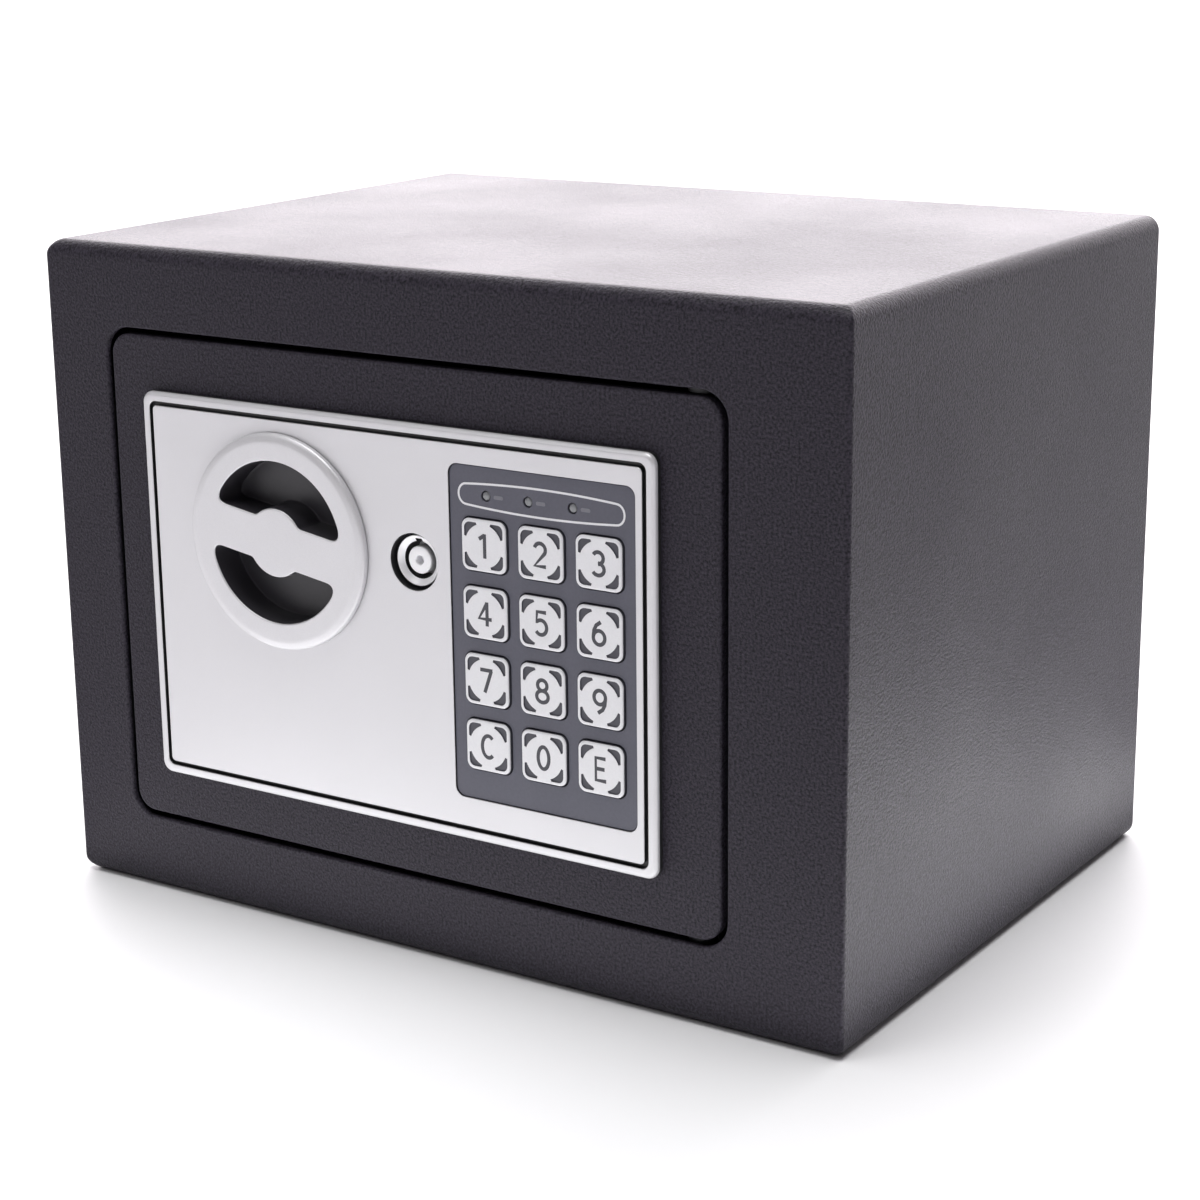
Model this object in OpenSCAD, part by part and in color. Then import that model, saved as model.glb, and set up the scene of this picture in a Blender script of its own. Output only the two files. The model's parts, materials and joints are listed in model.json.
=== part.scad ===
// Small electronic safe with a keypad, an override lock and a turning knob.
// +X is to the right of the door, +Y runs from the front to the back, +Z is up.
// The origin is under the middle of the whole safe, on the surface it stands on.
// Door and mechanism depths are measured inwards from the front sheet (see at_front).

/* [Case] */
// Width of the case
case_w = 230; // [220:1:260]
// Depth of the case from its front sheet to its back edge
case_d = 170; // [160:1:220]
// Height of the case
case_h = 170; // [165:1:200]
// Thickness of the case sheet
sheet_t = 1.2; // [1:0.1:2]
// Radius of the long edges of the case
case_r = 4; // [3:0.5:6]
// Radius of the upright front edges
front_edge_r = 1.2; // [0.8:0.1:1.5]
// Distance between the two anchor holes
anchor_pitch = 120; // [80:5:140]
// Radius of an anchor hole
anchor_r = 5; // [4:0.5:6]

/* [Door] */
// Width of the door opening
opening_w = 180.6; // [180:0.2:182]
// Height of the door opening
opening_h = 129.4; // [129:0.2:132]
// Corner radius of the door opening
opening_r = 7; // [6:0.5:9]
// Gap between the door and its opening
door_gap = 1.5; // [1.2:0.1:1.8]
// Thickness of the door plate
door_t = 3; // [3:0.1:3.2]

/* [Front panel] */
// Width of the moulded front panel
bezel_w = 150.5; // [150:0.5:152]
// Height of the moulded front panel
bezel_h = 100; // [99:0.5:101]
// How far the front panel stands out of the door
bezel_out = 2.6; // [2.4:0.1:3]
// Width of the raised rim of the front panel
rim_w = 2.3; // [2:0.1:2.6]
// Width of the groove inside the rim
groove_w = 1.1; // [0.8:0.1:1.4]

/* [Knob] */
// Radius of the knob's face
knob_r = 27; // [26:0.5:28]
// How far the knob stands out of the door
knob_out = 4.8; // [4.4:0.1:5]
// Radius of the finger pockets
pocket_r = 20.3; // [19:0.1:20.5]
// Width of the bar between the finger pockets
bar_w = 11; // [9:0.5:12]
// Tilt of the bar, in degrees
bar_tilt = 9; // [0:1:20]

/* [Keypad] */
// Width and height of a key
key_w = 12.4; // [11.5:0.1:12.6]
// Distance between two columns of keys
key_pitch_x = 15.8; // [15.6:0.1:16]
// Distance between two rows of keys
key_pitch_z = 16.25; // [16:0.05:16.4]

/* [Mechanism] */
// Radius of a locking bolt
bolt_r = 6; // [5:0.5:6]
// Radius of the crank that throws the bolts
crank_r = 8.5; // [8:0.1:8.5]
// Radius of a battery cell
cell_r = 7.25; // [7:0.05:7.25]

/* [Hidden] */
$fn = 96;

// A little extra length, so that a cut passes right through
cut = 1;
// Clearance all round a shaft that turns or slides in a hole
fit = 0.05;

front_y = -(case_d + knob_out) / 2 + knob_out;
back_y = front_y + case_d;

door_x = -5.1;
door_z = 84.7;
door_w = opening_w - 2 * door_gap;
door_h = opening_h - 2 * door_gap;
door_r = opening_r - door_gap;
opening_left = door_x - opening_w / 2;

// Door hinge: pins stand behind the door plate and turn in lugs behind the front sheet
hinge_x = 76;
hinge_y = 5.6;
pin_r = 2.5;
lug_gap = 1.1;
lug_t = 3;
lug_top_z = door_z + opening_h / 2 + lug_gap;
lug_low_z = door_z - opening_h / 2 - lug_gap - lug_t;

bezel_x = -7;
bezel_z = 84.5;
bezel_corner = 3;
groove_depth = 1.4;
boss_places = [for (x = [-76, 6], z = [41, 127]) [x, z]];

knob_x = -39.2;
knob_z = 101.2;
cup_r = 22.5;
cup_back = 5.5;
cup_floor = 1.8;
hub_r = 8.6;
knob_lift = 0.2;

lock_x = 1.4;
lock_z = 101.3;
lock_hole_r = 7;
barrel_r = 5.7;
barrel_head_r = 6.15;
barrel_head_t = 0.85;
keyway_r = 4.6;
plug_post_r = 3.4;
plug_out = 0.35;

pad_x = 37.5;
pad_z = 85.9;
pad_w = 51.2;
pad_h = 81.4;
pad_out = 2.2;
pad_t = 1.6;
keys_x = 37.7;
keys_z = 83.5;
key_corner = 2;
key_gap = 0.3;
key_out = 3;
key_back = 0.4;
led_z = 119.6;
led_places = [-15.2, -3.5, 8.7];
led_r = 1.2;
box_wall = 1.5;
box_back = 6.4;

// Bolt work
stroke = crank_r * sqrt(2);
bolt_places = [56.5, 112.5];
bolt_y = 17.5;
bolt_tip = -92;
bolt_tail = -58;
web_y = [13.5, 15.5];
web_low = 74;
stud_z = 84;
stud_places = [-50.8, -28.8];
plunger_x = -26;
plunger_y = 14.5;
plunger_tip = 73.5;
spindle_r = 4;

// Inner cover and what is fixed behind the door
cover_x = [-88.5, 68];
cover_z = [34, 135];
cover_back = 39;
cover_t = 1;
flange_h = 8;
cover_screw_places = [for (x = [-75, 50], z = [30, 139]) [x, z]];
battery_x = 31.5;
battery_z = 65.5;
battery_box_w = 61;
battery_box_h = 56;
cell_pitch = 14.8;
cell_len = 48.5;
cell_y = 30;
board_x = 37;
board_z = 113;
board_y = 27;
board_t = 1.6;
buzzer_x = 26;
reset_x = 48;

// ---- helpers ----

// Puts door parts in place: y = 0 is the outer face of the front sheet
module at_front() translate([0, front_y, 0]) children();

// Rectangle with round corners, in the middle of its plane
module round_rect(w, h, r) {
    square([w - 2 * r, h], center = true);
    square([w, h - 2 * r], center = true);
    for (sx = [-1, 1], sz = [-1, 1])
        translate([sx * (w / 2 - r), sz * (h / 2 - r)]) circle(r = r);
}

// Outline drawn in X and Z, given depth from y0 to y1
module depth(y0, y1) translate([0, y1, 0]) rotate([90, 0, 0]) linear_extrude(y1 - y0) children();

// Round bar along Y
module bar_y(x, z, r, y0, y1) translate([x, y0, z]) rotate([-90, 0, 0]) cylinder(r = r, h = y1 - y0);

// Round bar along X
module bar_x(y, z, r, x0, x1) translate([x0, y, z]) rotate([0, 90, 0]) cylinder(r = r, h = x1 - x0);

// Round bar along Z
module bar_z(x, y, r, z0, z1) translate([x, y, z0]) cylinder(r = r, h = z1 - z0);

// Block between two corners
module block(x, y, z) translate([x[0], y[0], z[0]]) cube([x[1] - x[0], y[1] - y[0], z[1] - z[0]]);

// Ring of round section around the Z axis
module wire_ring(r, wire) rotate_extrude() translate([r, 0]) circle(r = wire, $fn = 24);

// Slot with round ends between two points of the X and Z plane
module slot_between(a, b, r, y0, y1) {
    bar_y(a[0], a[1], r, y0, y1);
    bar_y(b[0], b[1], r, y0, y1);
    if (a[0] == b[0])
        block([a[0] - r, a[0] + r], [y0, y1], [a[1], b[1]]);
    else
        block([a[0], b[0]], [y0, y1], [a[1] - r, a[1] + r]);
}

// Outline of a side of the case, with only its front corners rounded
module front_rounded(length, across, r) {
    translate([r, -across / 2]) square([length - r, across]);
    translate([0, -across / 2 + r]) square([length, across - 2 * r]);
    for (s = [-1, 1]) translate([r, s * (across / 2 - r)]) circle(r = r);
}

// ---- case ----

// The closed outer shape of the case
module case_block() {
    intersection() {
        translate([0, back_y, case_h / 2]) rotate([90, 0, 0])
            linear_extrude(case_d) round_rect(case_w, case_h, case_r);
        // Rounds the upper and lower front edges
        translate([-case_w / 2 - cut, front_y, case_h / 2]) rotate([90, 0, 90])
            linear_extrude(case_w + 2 * cut) front_rounded(case_d + cut, case_h, case_r);
        // Rounds the two upright front edges
        translate([0, front_y, -cut]) rotate([0, 0, 90])
            linear_extrude(case_h + 2 * cut) front_rounded(case_d + cut, case_w, front_edge_r);
    }
}

module case_shell() color([0.21, 0.2, 0.23])
    difference() {
        case_block();
        translate([0, back_y + cut, case_h / 2]) rotate([90, 0, 0])
            linear_extrude(case_d - sheet_t + cut)
                round_rect(case_w - 2 * sheet_t, case_h - 2 * sheet_t, case_r - sheet_t);
        at_front() translate([door_x, 0, door_z]) depth(-cut, sheet_t + cut)
            round_rect(opening_w, opening_h, opening_r);
        for (sx = [-1, 1]) bar_z(sx * anchor_pitch / 2, 0, anchor_r, -cut, sheet_t + cut);
    }

// The back is a separate sheet, welded in a little way from the back edge
back_inset = 2;
module back_panel() color([0.21, 0.2, 0.23])
    difference() {
        translate([0, 0, case_h / 2]) depth(back_y - back_inset - sheet_t, back_y - back_inset)
            round_rect(case_w - 2 * sheet_t, case_h - 2 * sheet_t, case_r - sheet_t);
        for (sx = [-1, 1])
            bar_y(sx * anchor_pitch / 2, case_h / 2, anchor_r, front_y, back_y);
    }

mat_t = 2;
mat_hole_r = 8;
module floor_mat() color([0.1, 0.1, 0.11])
    difference() {
        block([-case_w / 2 + 4, case_w / 2 - 4], [front_y + 4, back_y - 6], [sheet_t, sheet_t + mat_t]);
        for (sx = [-1, 1]) bar_z(sx * anchor_pitch / 2, 0, mat_hole_r, 0, 2 * mat_t + cut);
    }

// Folded channel behind the left margin, which the bolts pass behind
strike_x = [-case_w / 2 + sheet_t, opening_left - 1.6];
strike_y = [sheet_t, 11];
strike_z = [40, 130];
module strike_channel() color([0.3, 0.3, 0.33]) at_front()
    difference() {
        block(strike_x, strike_y, strike_z);
        block([strike_x[0] + 2, strike_x[1] - 2], [0, strike_y[1] - 2],
            [strike_z[0] - cut, strike_z[1] + cut]);
    }

module hinge_lug(z) at_front()
    difference() {
        union() {
            block([hinge_x - 7, hinge_x + 7], [sheet_t, hinge_y + 2], [z, z + lug_t]);
            bar_z(hinge_x, hinge_y + 2, 7, z, z + lug_t);
        }
        bar_z(hinge_x, hinge_y, pin_r + fit, z - cut, z + lug_t + cut);
        // The lug's round end would stand in front of the sheet's back face
        block([hinge_x - 8, hinge_x + 8], [-10, sheet_t], [z - cut, z + lug_t + cut]);
    }
module hinge_lug_upper() color([0.3, 0.3, 0.33]) hinge_lug(lug_top_z);
module hinge_lug_lower() color([0.3, 0.3, 0.33]) hinge_lug(lug_low_z);

// ---- door ----

well_r = 25;
module door_plate() color([0.21, 0.2, 0.23]) at_front()
    difference() {
        translate([door_x, 0, door_z]) depth(0, door_t) round_rect(door_w, door_h, door_r);
        bar_y(knob_x, knob_z, well_r, -cut, door_t + cut);
        bar_y(lock_x, lock_z, barrel_r + 0.05, -cut, door_t + cut);
        translate([pad_x, 0, pad_z]) depth(-cut, door_t + cut) round_rect(pad_w + 1, pad_h + 1, 3);
        for (p = boss_places) bar_y(p[0], p[1], 3.3, -cut, door_t + cut);
        for (p = cover_screw_places) bar_y(p[0], p[1], 1.6, door_t - 1.8, door_t + cut);
    }

// Blocks welded to the back of the door hold the hinge pins
block_low_z = [23, 41];
block_top_z = [128, 146];
module hinge_blocks() color([0.3, 0.3, 0.33]) at_front()
    for (z = [block_low_z, block_top_z]) difference() {
        block([hinge_x - 4.5, hinge_x + 4.5], [door_t, hinge_y + 4.5], z);
        bar_z(hinge_x, hinge_y, pin_r + 0.02, z[0] - cut, z[1] + cut);
    }

// Pins with a collar between each lug and the edge of the door plate
collar_r = 3.4;
module hinge_pins() color([0.75, 0.75, 0.77]) at_front() {
    bar_z(hinge_x, hinge_y, pin_r, lug_low_z - 1, block_low_z[1] - 4);
    bar_z(hinge_x, hinge_y, collar_r, lug_low_z + lug_t + 0.3, door_z - door_h / 2 - 0.2);
    bar_z(hinge_x, hinge_y, pin_r, block_top_z[0] + 4, lug_top_z + lug_t + 1);
    bar_z(hinge_x, hinge_y, collar_r, door_z + door_h / 2 + 0.2, lug_top_z - 0.3);
}

// ---- front panel ----

module panel_bezel() color([0.83, 0.83, 0.85]) at_front()
    difference() {
        union() {
            // Plate on the door
            translate([bezel_x, 0, bezel_z]) depth(-bezel_out, 0) round_rect(bezel_w, bezel_h, bezel_corner);
            // Collar in the door's round hole
            bar_y(knob_x, knob_z, well_r - 0.2, -cut, door_t);
            // Box around the keypad, through the door's window
            translate([pad_x, 0, pad_z]) depth(-cut, box_back)
                round_rect(pad_w + 0.4, pad_h + 0.4, 2.5);
            // Screw bosses
            for (p = boss_places) bar_y(p[0], p[1], 3, -cut, door_t);
        }
        // Groove inside the rim
        translate([bezel_x, 0, bezel_z]) depth(-bezel_out - cut, -bezel_out + groove_depth)
            difference() {
                round_rect(bezel_w - 2 * rim_w, bezel_h - 2 * rim_w, bezel_corner - 1);
                round_rect(bezel_w - 2 * rim_w - 2 * groove_w, bezel_h - 2 * rim_w - 2 * groove_w, 1.2);
            }
        bar_y(knob_x, knob_z, cup_r + 0.6, -bezel_out - cut, door_t + cut);
        bar_y(lock_x, lock_z, lock_hole_r, -bezel_out - cut, cut);
        // Seat of the keypad surround, and the hollow behind it
        translate([pad_x, 0, pad_z]) depth(-bezel_out - cut, pad_t - pad_out)
            round_rect(pad_w, pad_h, 2.5);
        translate([pad_x, 0, pad_z]) depth(-bezel_out, box_back + cut)
            round_rect(pad_w - 2 * box_wall, pad_h - 2 * box_wall, 1.5);
        for (p = boss_places) bar_y(p[0], p[1], 1.25, -1, door_t + cut);
    }

module bezel_screws() color([0.7, 0.7, 0.72]) at_front()
    for (p = boss_places) difference() {
        union() {
            bar_y(p[0], p[1], 1.2, -0.8, door_t + 0.5);
            bar_y(p[0], p[1], 4, door_t, door_t + 0.6);
            bar_y(p[0], p[1], 2.5, door_t + 0.6, door_t + 2.1);
        }
        for (turn = [0, 90]) translate([p[0], door_t + 2.1, p[1]]) rotate([0, turn, 0])
            cube([0.7, 1.6, 3], center = true);
    }

module keypad_surround() color([0.33, 0.33, 0.37]) at_front()
    difference() {
        translate([pad_x, 0, pad_z]) depth(-pad_out, pad_t - pad_out)
            round_rect(pad_w - 0.1, pad_h - 0.1, 2.45);
        for (i = [-1:1], j = [0:3]) translate([keys_x + i * key_pitch_x, 0, key_row(j)])
            depth(-pad_out - cut, cut)
                round_rect(key_w + 2 * key_gap, key_w + 2 * key_gap, key_corner + key_gap);
        for (x = led_places) bar_y(pad_x + x, led_z, led_r + 0.1, -pad_out - cut, cut);
    }

function key_row(j) = keys_z + (1.5 - j) * key_pitch_z;

module led_lenses() color([0.75, 0.8, 0.78]) at_front()
    for (x = led_places) {
        bar_y(pad_x + x, led_z, led_r, -pad_out, 4.4);
        bar_y(pad_x + x, led_z, led_r + 0.5, 3.4, 4.4);
    }

// Rubber mat with a raised pad behind each key
module keypad_mat() color([0.25, 0.25, 0.27]) at_front()
    difference() {
        union() {
            translate([pad_x, 0, pad_z]) depth(1.8, 2.8) round_rect(47.8, 78, 1.2);
            for (i = [-1:1], j = [0:3]) {
                bar_y(keys_x + i * key_pitch_x, key_row(j), 4, 1.4, 1.8);
                bar_y(keys_x + i * key_pitch_x, key_row(j), 2.5, 2.8, 3.6);
            }
        }
        for (x = led_places) bar_y(pad_x + x, led_z, led_r + 0.9, 0, 4);
    }

module keypad_board() color([0.1, 0.35, 0.2]) at_front()
    difference() {
        translate([pad_x, 0, pad_z]) depth(4.4, 4.4 + board_t) round_rect(47.8, 78, 1.2);
        for (sx = [-1, 1], sz = [-1, 1]) bar_y(pad_x + sx * 21, pad_z + sz * 36, 1.2, 4, 7);
    }

// A key: cap through the surround and a wider flange that keeps it in
module key_cap(column, row) color([0.86, 0.86, 0.87]) at_front()
    translate([keys_x + (column - 1) * key_pitch_x, 0, key_row(row)]) {
        depth(-key_out, key_back) round_rect(key_w, key_w, key_corner);
        depth(-0.4, key_back) round_rect(key_w + 1.8, key_w + 1.8, key_corner);
    }
module key_1() key_cap(0, 0);
module key_2() key_cap(1, 0);
module key_3() key_cap(2, 0);
module key_4() key_cap(0, 1);
module key_5() key_cap(1, 1);
module key_6() key_cap(2, 1);
module key_7() key_cap(0, 2);
module key_8() key_cap(1, 2);
module key_9() key_cap(2, 2);
module key_c() key_cap(0, 3);
module key_0() key_cap(1, 3);
module key_e() key_cap(2, 3);

// ---- override lock ----

barrel_back = 20;
module lock_barrel() color([0.8, 0.8, 0.82]) at_front()
    difference() {
        union() {
            bar_y(lock_x, lock_z, barrel_head_r, -barrel_head_t, 0);
            bar_y(lock_x, lock_z, barrel_r, -cut, barrel_back);
        }
        bar_y(lock_x, lock_z, keyway_r, 0, barrel_back + cut);
        // Mouth that leads a tubular key in
        translate([lock_x, -barrel_head_t - cut, lock_z]) rotate([-90, 0, 0])
            cylinder(r1 = barrel_head_r - 0.25, r2 = keyway_r, h = barrel_head_t + 2 * cut);
        // Notch that the key lines up with
        block([lock_x - 0.95, lock_x + 0.95], [-barrel_head_t - cut, 2.5],
            [lock_z, lock_z + barrel_r - 0.35]);
    }

nut_r = 9;
module lock_nut() color([0.75, 0.75, 0.77]) at_front()
    difference() {
        translate([lock_x, door_t, lock_z]) rotate([-90, 0, 0]) cylinder(r = nut_r, h = 3, $fn = 6);
        bar_y(lock_x, lock_z, barrel_r + 0.02, 0, 10);
    }

module lock_plug() color([0.85, 0.85, 0.87]) at_front()
    difference() {
        union() {
            bar_y(lock_x, lock_z, plug_post_r, -plug_out, 6);
            bar_y(lock_x, lock_z, keyway_r - fit, 5, barrel_back);
            bar_y(lock_x, lock_z, 3, barrel_back - 1, barrel_back + 2.5);
        }
        bar_y(lock_x, lock_z, 1.5, barrel_back - 3, barrel_back + 3);
        bar_y(lock_x, lock_z, 1.1, -plug_out - cut, 2);
    }

cam_y = [20.3, 22.3];
cam_len = 18;
module lock_cam() color([0.72, 0.72, 0.74]) at_front()
    difference() {
        union() {
            bar_y(lock_x, lock_z, 6, cam_y[0], cam_y[1]);
            block([lock_x - cam_len + 4, lock_x], cam_y, [lock_z - 4, lock_z + 4]);
            bar_y(lock_x - cam_len + 4, lock_z, 4, cam_y[0], cam_y[1]);
        }
        bar_y(lock_x, lock_z, 3.02, 10, 30);
    }

module cam_screw() color([0.7, 0.7, 0.72]) at_front()
    difference() {
        union() {
            bar_y(lock_x, lock_z, 1.4, barrel_back - 2, barrel_back + 3);
            bar_y(lock_x, lock_z, 4, barrel_back + 2.5, barrel_back + 4);
        }
        translate([lock_x, barrel_back + 4, lock_z]) cube([6, 1.2, 0.9], center = true);
    }

// ---- knob ----

// The space of the two finger pockets
module finger_pockets() translate([knob_x, 0, knob_z]) rotate([0, bar_tilt, 0])
    depth(-knob_out - cut, cup_back - cup_floor) difference() {
        circle(r = pocket_r);
        circle(r = hub_r);
        square([2 * knob_r, bar_w], center = true);
    }

face_step = 2;
module knob_grip() color([0.82, 0.82, 0.84]) at_front()
    difference() {
        union() {
            // Face disc with a sloping edge
            translate([knob_x, -knob_out, knob_z]) rotate([-90, 0, 0])
                rotate_extrude() polygon([
                    [0, 0], [knob_r - face_step, 0], [knob_r, knob_out - bezel_out - knob_lift - 0.6],
                    [knob_r, knob_out - bezel_out - knob_lift], [0, knob_out - bezel_out - knob_lift]
                ]);
            // Cup behind the face
            bar_y(knob_x, knob_z, cup_r, -knob_out + 1, cup_back);
        }
        finger_pockets();
        // Hole for the end of the spindle
        bar_y(knob_x, knob_z, spindle_r - 0.98, 0, cup_back + cut);
    }

module knob_spindle() color([0.75, 0.75, 0.77]) at_front()
    difference() {
        union() {
            bar_y(knob_x, knob_z, spindle_r - 1, 0.2, cup_back);
            bar_y(knob_x, knob_z, spindle_r, cup_back, 12);
        }
        // Groove for the clip
        difference() {
            bar_y(knob_x, knob_z, spindle_r + 1, 9.2, 9.8);
            bar_y(knob_x, knob_z, spindle_r - 0.6, 9, 10);
        }
    }

module spindle_clip() color([0.3, 0.3, 0.32]) at_front()
    difference() {
        bar_y(knob_x, knob_z, spindle_r + 2, 9.25, 9.75);
        bar_y(knob_x, knob_z, spindle_r - 0.58, 9, 10);
        // Open mouth of the clip
        block([knob_x - 2.5, knob_x + 2.5], [9, 10], [knob_z - 8, knob_z - 1]);
    }

// Crank arm, drawn at 45 degrees so that a quarter turn throws the bolts evenly
crank_y = [10.1, 12];
module crank() color([0.72, 0.72, 0.74]) at_front()
    translate([knob_x, 0, knob_z]) rotate([0, 45, 0]) difference() {
        union() {
            bar_y(0, 0, 7, crank_y[0], crank_y[1]);
            bar_y(0, crank_r, 4.5, crank_y[0], crank_y[1]);
            block([-4.5, 4.5], crank_y, [0, crank_r]);
            bar_y(0, crank_r, pin_r, crank_y[0], 17);
        }
        bar_y(0, 0, spindle_r + 0.02, 0, 20);
    }

// ---- bolt work on the door ----

bridge_x = [-56, -23];
bridge_z = [70, 132];
bridge_y = [7, 9];
module spindle_bridge() color([0.78, 0.76, 0.66]) at_front()
    difference() {
        union() {
            block(bridge_x, bridge_y, bridge_z);
            for (z = [bridge_z[0], bridge_z[1] - 2]) block(bridge_x, [door_t, bridge_y[1]], [z, z + 2]);
        }
        bar_y(knob_x, knob_z, spindle_r + fit, 0, 20);
        for (x = stud_places) bar_y(x, stud_z, pin_r + 0.02, 0, 20);
    }

// Studs that the carriage slides on
module guide_studs() color([0.75, 0.75, 0.77]) at_front()
    for (x = stud_places) {
        bar_y(x, stud_z, pin_r, bridge_y[0], 17);
        bar_y(x, stud_z, 4, bridge_y[1], web_y[0] - 0.3);
        bar_y(x, stud_z, 4, web_y[1] + 0.3, 17);
    }

guide_x = [-86, -84];
guide_z = [46, 123];
module bolt_guide() color([0.78, 0.76, 0.66]) at_front()
    difference() {
        union() {
            block(guide_x, [door_t, 25], guide_z);
            block([guide_x[1] - 1, -74], [door_t, door_t + 1.5], guide_z);
        }
        for (z = bolt_places) bar_x(bolt_y, z, bolt_r + fit, guide_x[0] - cut, guide_x[1] + cut);
        for (z = [66, 85, 104]) bar_y(-78, z, 2.1, 0, 10);
    }

flange_x = [-58, -56];
web_top = 119;
module carriage_plate() color([0.78, 0.76, 0.66]) at_front()
    difference() {
        union() {
            block(flange_x, [11, 24], [48, web_top]);
            block([flange_x[0], -16], web_y, [web_low, web_top]);
            block([-17, -8], web_y, [web_low, 91]);
        }
        // Slot for the crank pin
        slot_between([knob_x + crank_r / sqrt(2), knob_z + 5.6], [knob_x + crank_r / sqrt(2), knob_z + 9.2],
            pin_r + 0.35, web_y[0] - cut, web_y[1] + cut);
        // Slots for the two guide studs
        for (x = stud_places)
            slot_between([x, stud_z], [x + stroke, stud_z], pin_r + fit, web_y[0] - cut, web_y[1] + cut);
        // Notches for the solenoid's plunger, with the bolts withdrawn and thrown
        for (x = [plunger_x, plunger_x + stroke])
            block([x - 3.5, x + 3.5], [web_y[0] - cut, web_y[1] + cut], [web_low - cut, web_low + 4]);
        // Rivet holes, and room for the rivets' heads in the web
        for (z = bolt_places) {
            bar_x(bolt_y, z, 4.02, flange_x[0] - cut, flange_x[1] + cut);
            bar_x(bolt_y, z, 5.8, flange_x[1], flange_x[1] + 1.8);
        }
    }

module locking_bolts() color([0.82, 0.82, 0.84]) at_front()
    for (z = bolt_places) {
        bar_x(bolt_y, z, bolt_r, bolt_tip + 1, bolt_tail);
        // Bevelled nose
        translate([bolt_tip, bolt_y, z]) rotate([0, 90, 0]) cylinder(r1 = bolt_r - 1, r2 = bolt_r, h = 1);
        // Riveted tail through the carriage
        bar_x(bolt_y, z, 4, bolt_tail, flange_x[1]);
        translate([flange_x[1], bolt_y, z]) rotate([0, 90, 0]) cylinder(r1 = 5.5, r2 = 4, h = 1.4);
    }

// ---- solenoid ----

sol_x = [-37, -15];
sol_z = [42, 66];
module solenoid_frame() color([0.75, 0.75, 0.77]) at_front()
    difference() {
        union() {
            block(sol_x, [door_t, door_t + 2], [sol_z[0] - 6, sol_z[1]]);
            block(sol_x, [door_t, 24], [sol_z[0], sol_z[0] + 1.5]);
            block(sol_x, [door_t, 24], [sol_z[1] - 1.5, sol_z[1]]);
        }
        bar_z(plunger_x, plunger_y, 3 + fit, sol_z[1] - 3, sol_z[1] + cut);
    }

module solenoid_coil() color([0.75, 0.4, 0.2]) at_front()
    difference() {
        union() {
            bar_z(plunger_x, plunger_y, 8.3, 44, 64);
            for (z = [sol_z[0] + 1.5, sol_z[1] - 3]) bar_z(plunger_x, plunger_y, 9.3, z, z + 1.5);
        }
        bar_z(plunger_x, plunger_y, 3.3, 46, 70);
    }

module plunger() color([0.8, 0.8, 0.82]) at_front() {
    bar_z(plunger_x, plunger_y, 3, 49, plunger_tip - 1);
    translate([plunger_x, plunger_y, plunger_tip - 1]) cylinder(r1 = 3, r2 = 2.2, h = 1);
    bar_z(plunger_x, plunger_y, 5, 69.8, 70.4);
}

module plunger_spring() color([0.7, 0.7, 0.72]) at_front()
    for (i = [0:3]) translate([plunger_x, plunger_y, sol_z[1] + 0.4 + i]) wire_ring(4, 0.35);

// ---- electronics behind the door ----

module control_board() color([0.1, 0.35, 0.2]) at_front()
    difference() {
        translate([board_x, 0, board_z]) depth(board_y, board_y + board_t) round_rect(42, 32, 1);
        for (sx = [-1, 1], sz = [-1, 1]) bar_y(board_x + sx * 18, board_z + sz * 13, 1.5, 20, 40);
    }

// Posts that carry the board on the inner cover
module board_posts() color([0.2, 0.2, 0.22]) at_front()
    for (sx = [-1, 1], sz = [-1, 1]) {
        bar_y(board_x + sx * 18, board_z + sz * 13, 2.8, board_y + board_t, cover_back - cover_t);
        bar_y(board_x + sx * 18, board_z + sz * 13, 1.45, board_y - 0.5, board_y + board_t);
        bar_y(board_x + sx * 18, board_z + sz * 13, 2.4, board_y - 1.6, board_y);
    }

module buzzer() color([0.08, 0.08, 0.09]) at_front()
    difference() {
        bar_y(buzzer_x, board_z, 6, board_y + board_t, 37);
        bar_y(buzzer_x, board_z, 1, 35, 40);
    }

module reset_switch() color([0.12, 0.12, 0.13]) at_front()
    difference() {
        block([reset_x - 3.5, reset_x + 3.5], [board_y + board_t, 33.4], [board_z - 3.5, board_z + 3.5]);
        bar_y(reset_x, board_z, 2 + fit, 30.5, 40);
    }

module reset_button() color([0.75, 0.08, 0.08]) at_front() {
    bar_y(reset_x, board_z, 2, 32.2, 35.2);
    bar_y(reset_x, board_z, 2.8, 35, 41);
}

// Flat cable from the keypad board to the control board
cable_x = [42, 56];
cable_t = 0.8;
module ribbon_cable() color([0.75, 0.75, 0.78]) at_front() {
    block(cable_x, [6, 12], [116, 116 + cable_t]);
    block(cable_x, [12 - cable_t, 12], [103, 116 + cable_t]);
    block(cable_x, [12 - cable_t, board_y], [103, 103 + cable_t]);
}

battery_y = [21.5, cover_back - cover_t];
module battery_box() color([0.1, 0.1, 0.11]) at_front()
    difference() {
        translate([battery_x, 0, battery_z]) depth(battery_y[0], battery_y[1])
            round_rect(battery_box_w, battery_box_h, 2);
        translate([battery_x, 0, battery_z]) depth(battery_y[0] + 1, battery_y[1] + cut)
            round_rect(battery_box_w - 2, battery_box_h - 2.4, 1.2);
    }

// Four cells, pointing up and down in turn
module battery_cells() color([0.15, 0.35, 0.65]) at_front()
    for (i = [0:3]) {
        up = i % 2 == 0 ? 1 : -1;
        translate([battery_x + (i - 1.5) * cell_pitch, cell_y, battery_z]) {
            translate([0, 0, -cell_len / 2]) cylinder(r = cell_r - 0.05, h = cell_len);
            translate([0, 0, up > 0 ? cell_len / 2 : -cell_len / 2 - 1]) cylinder(r = 2.7, h = 1);
        }
    }

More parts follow.
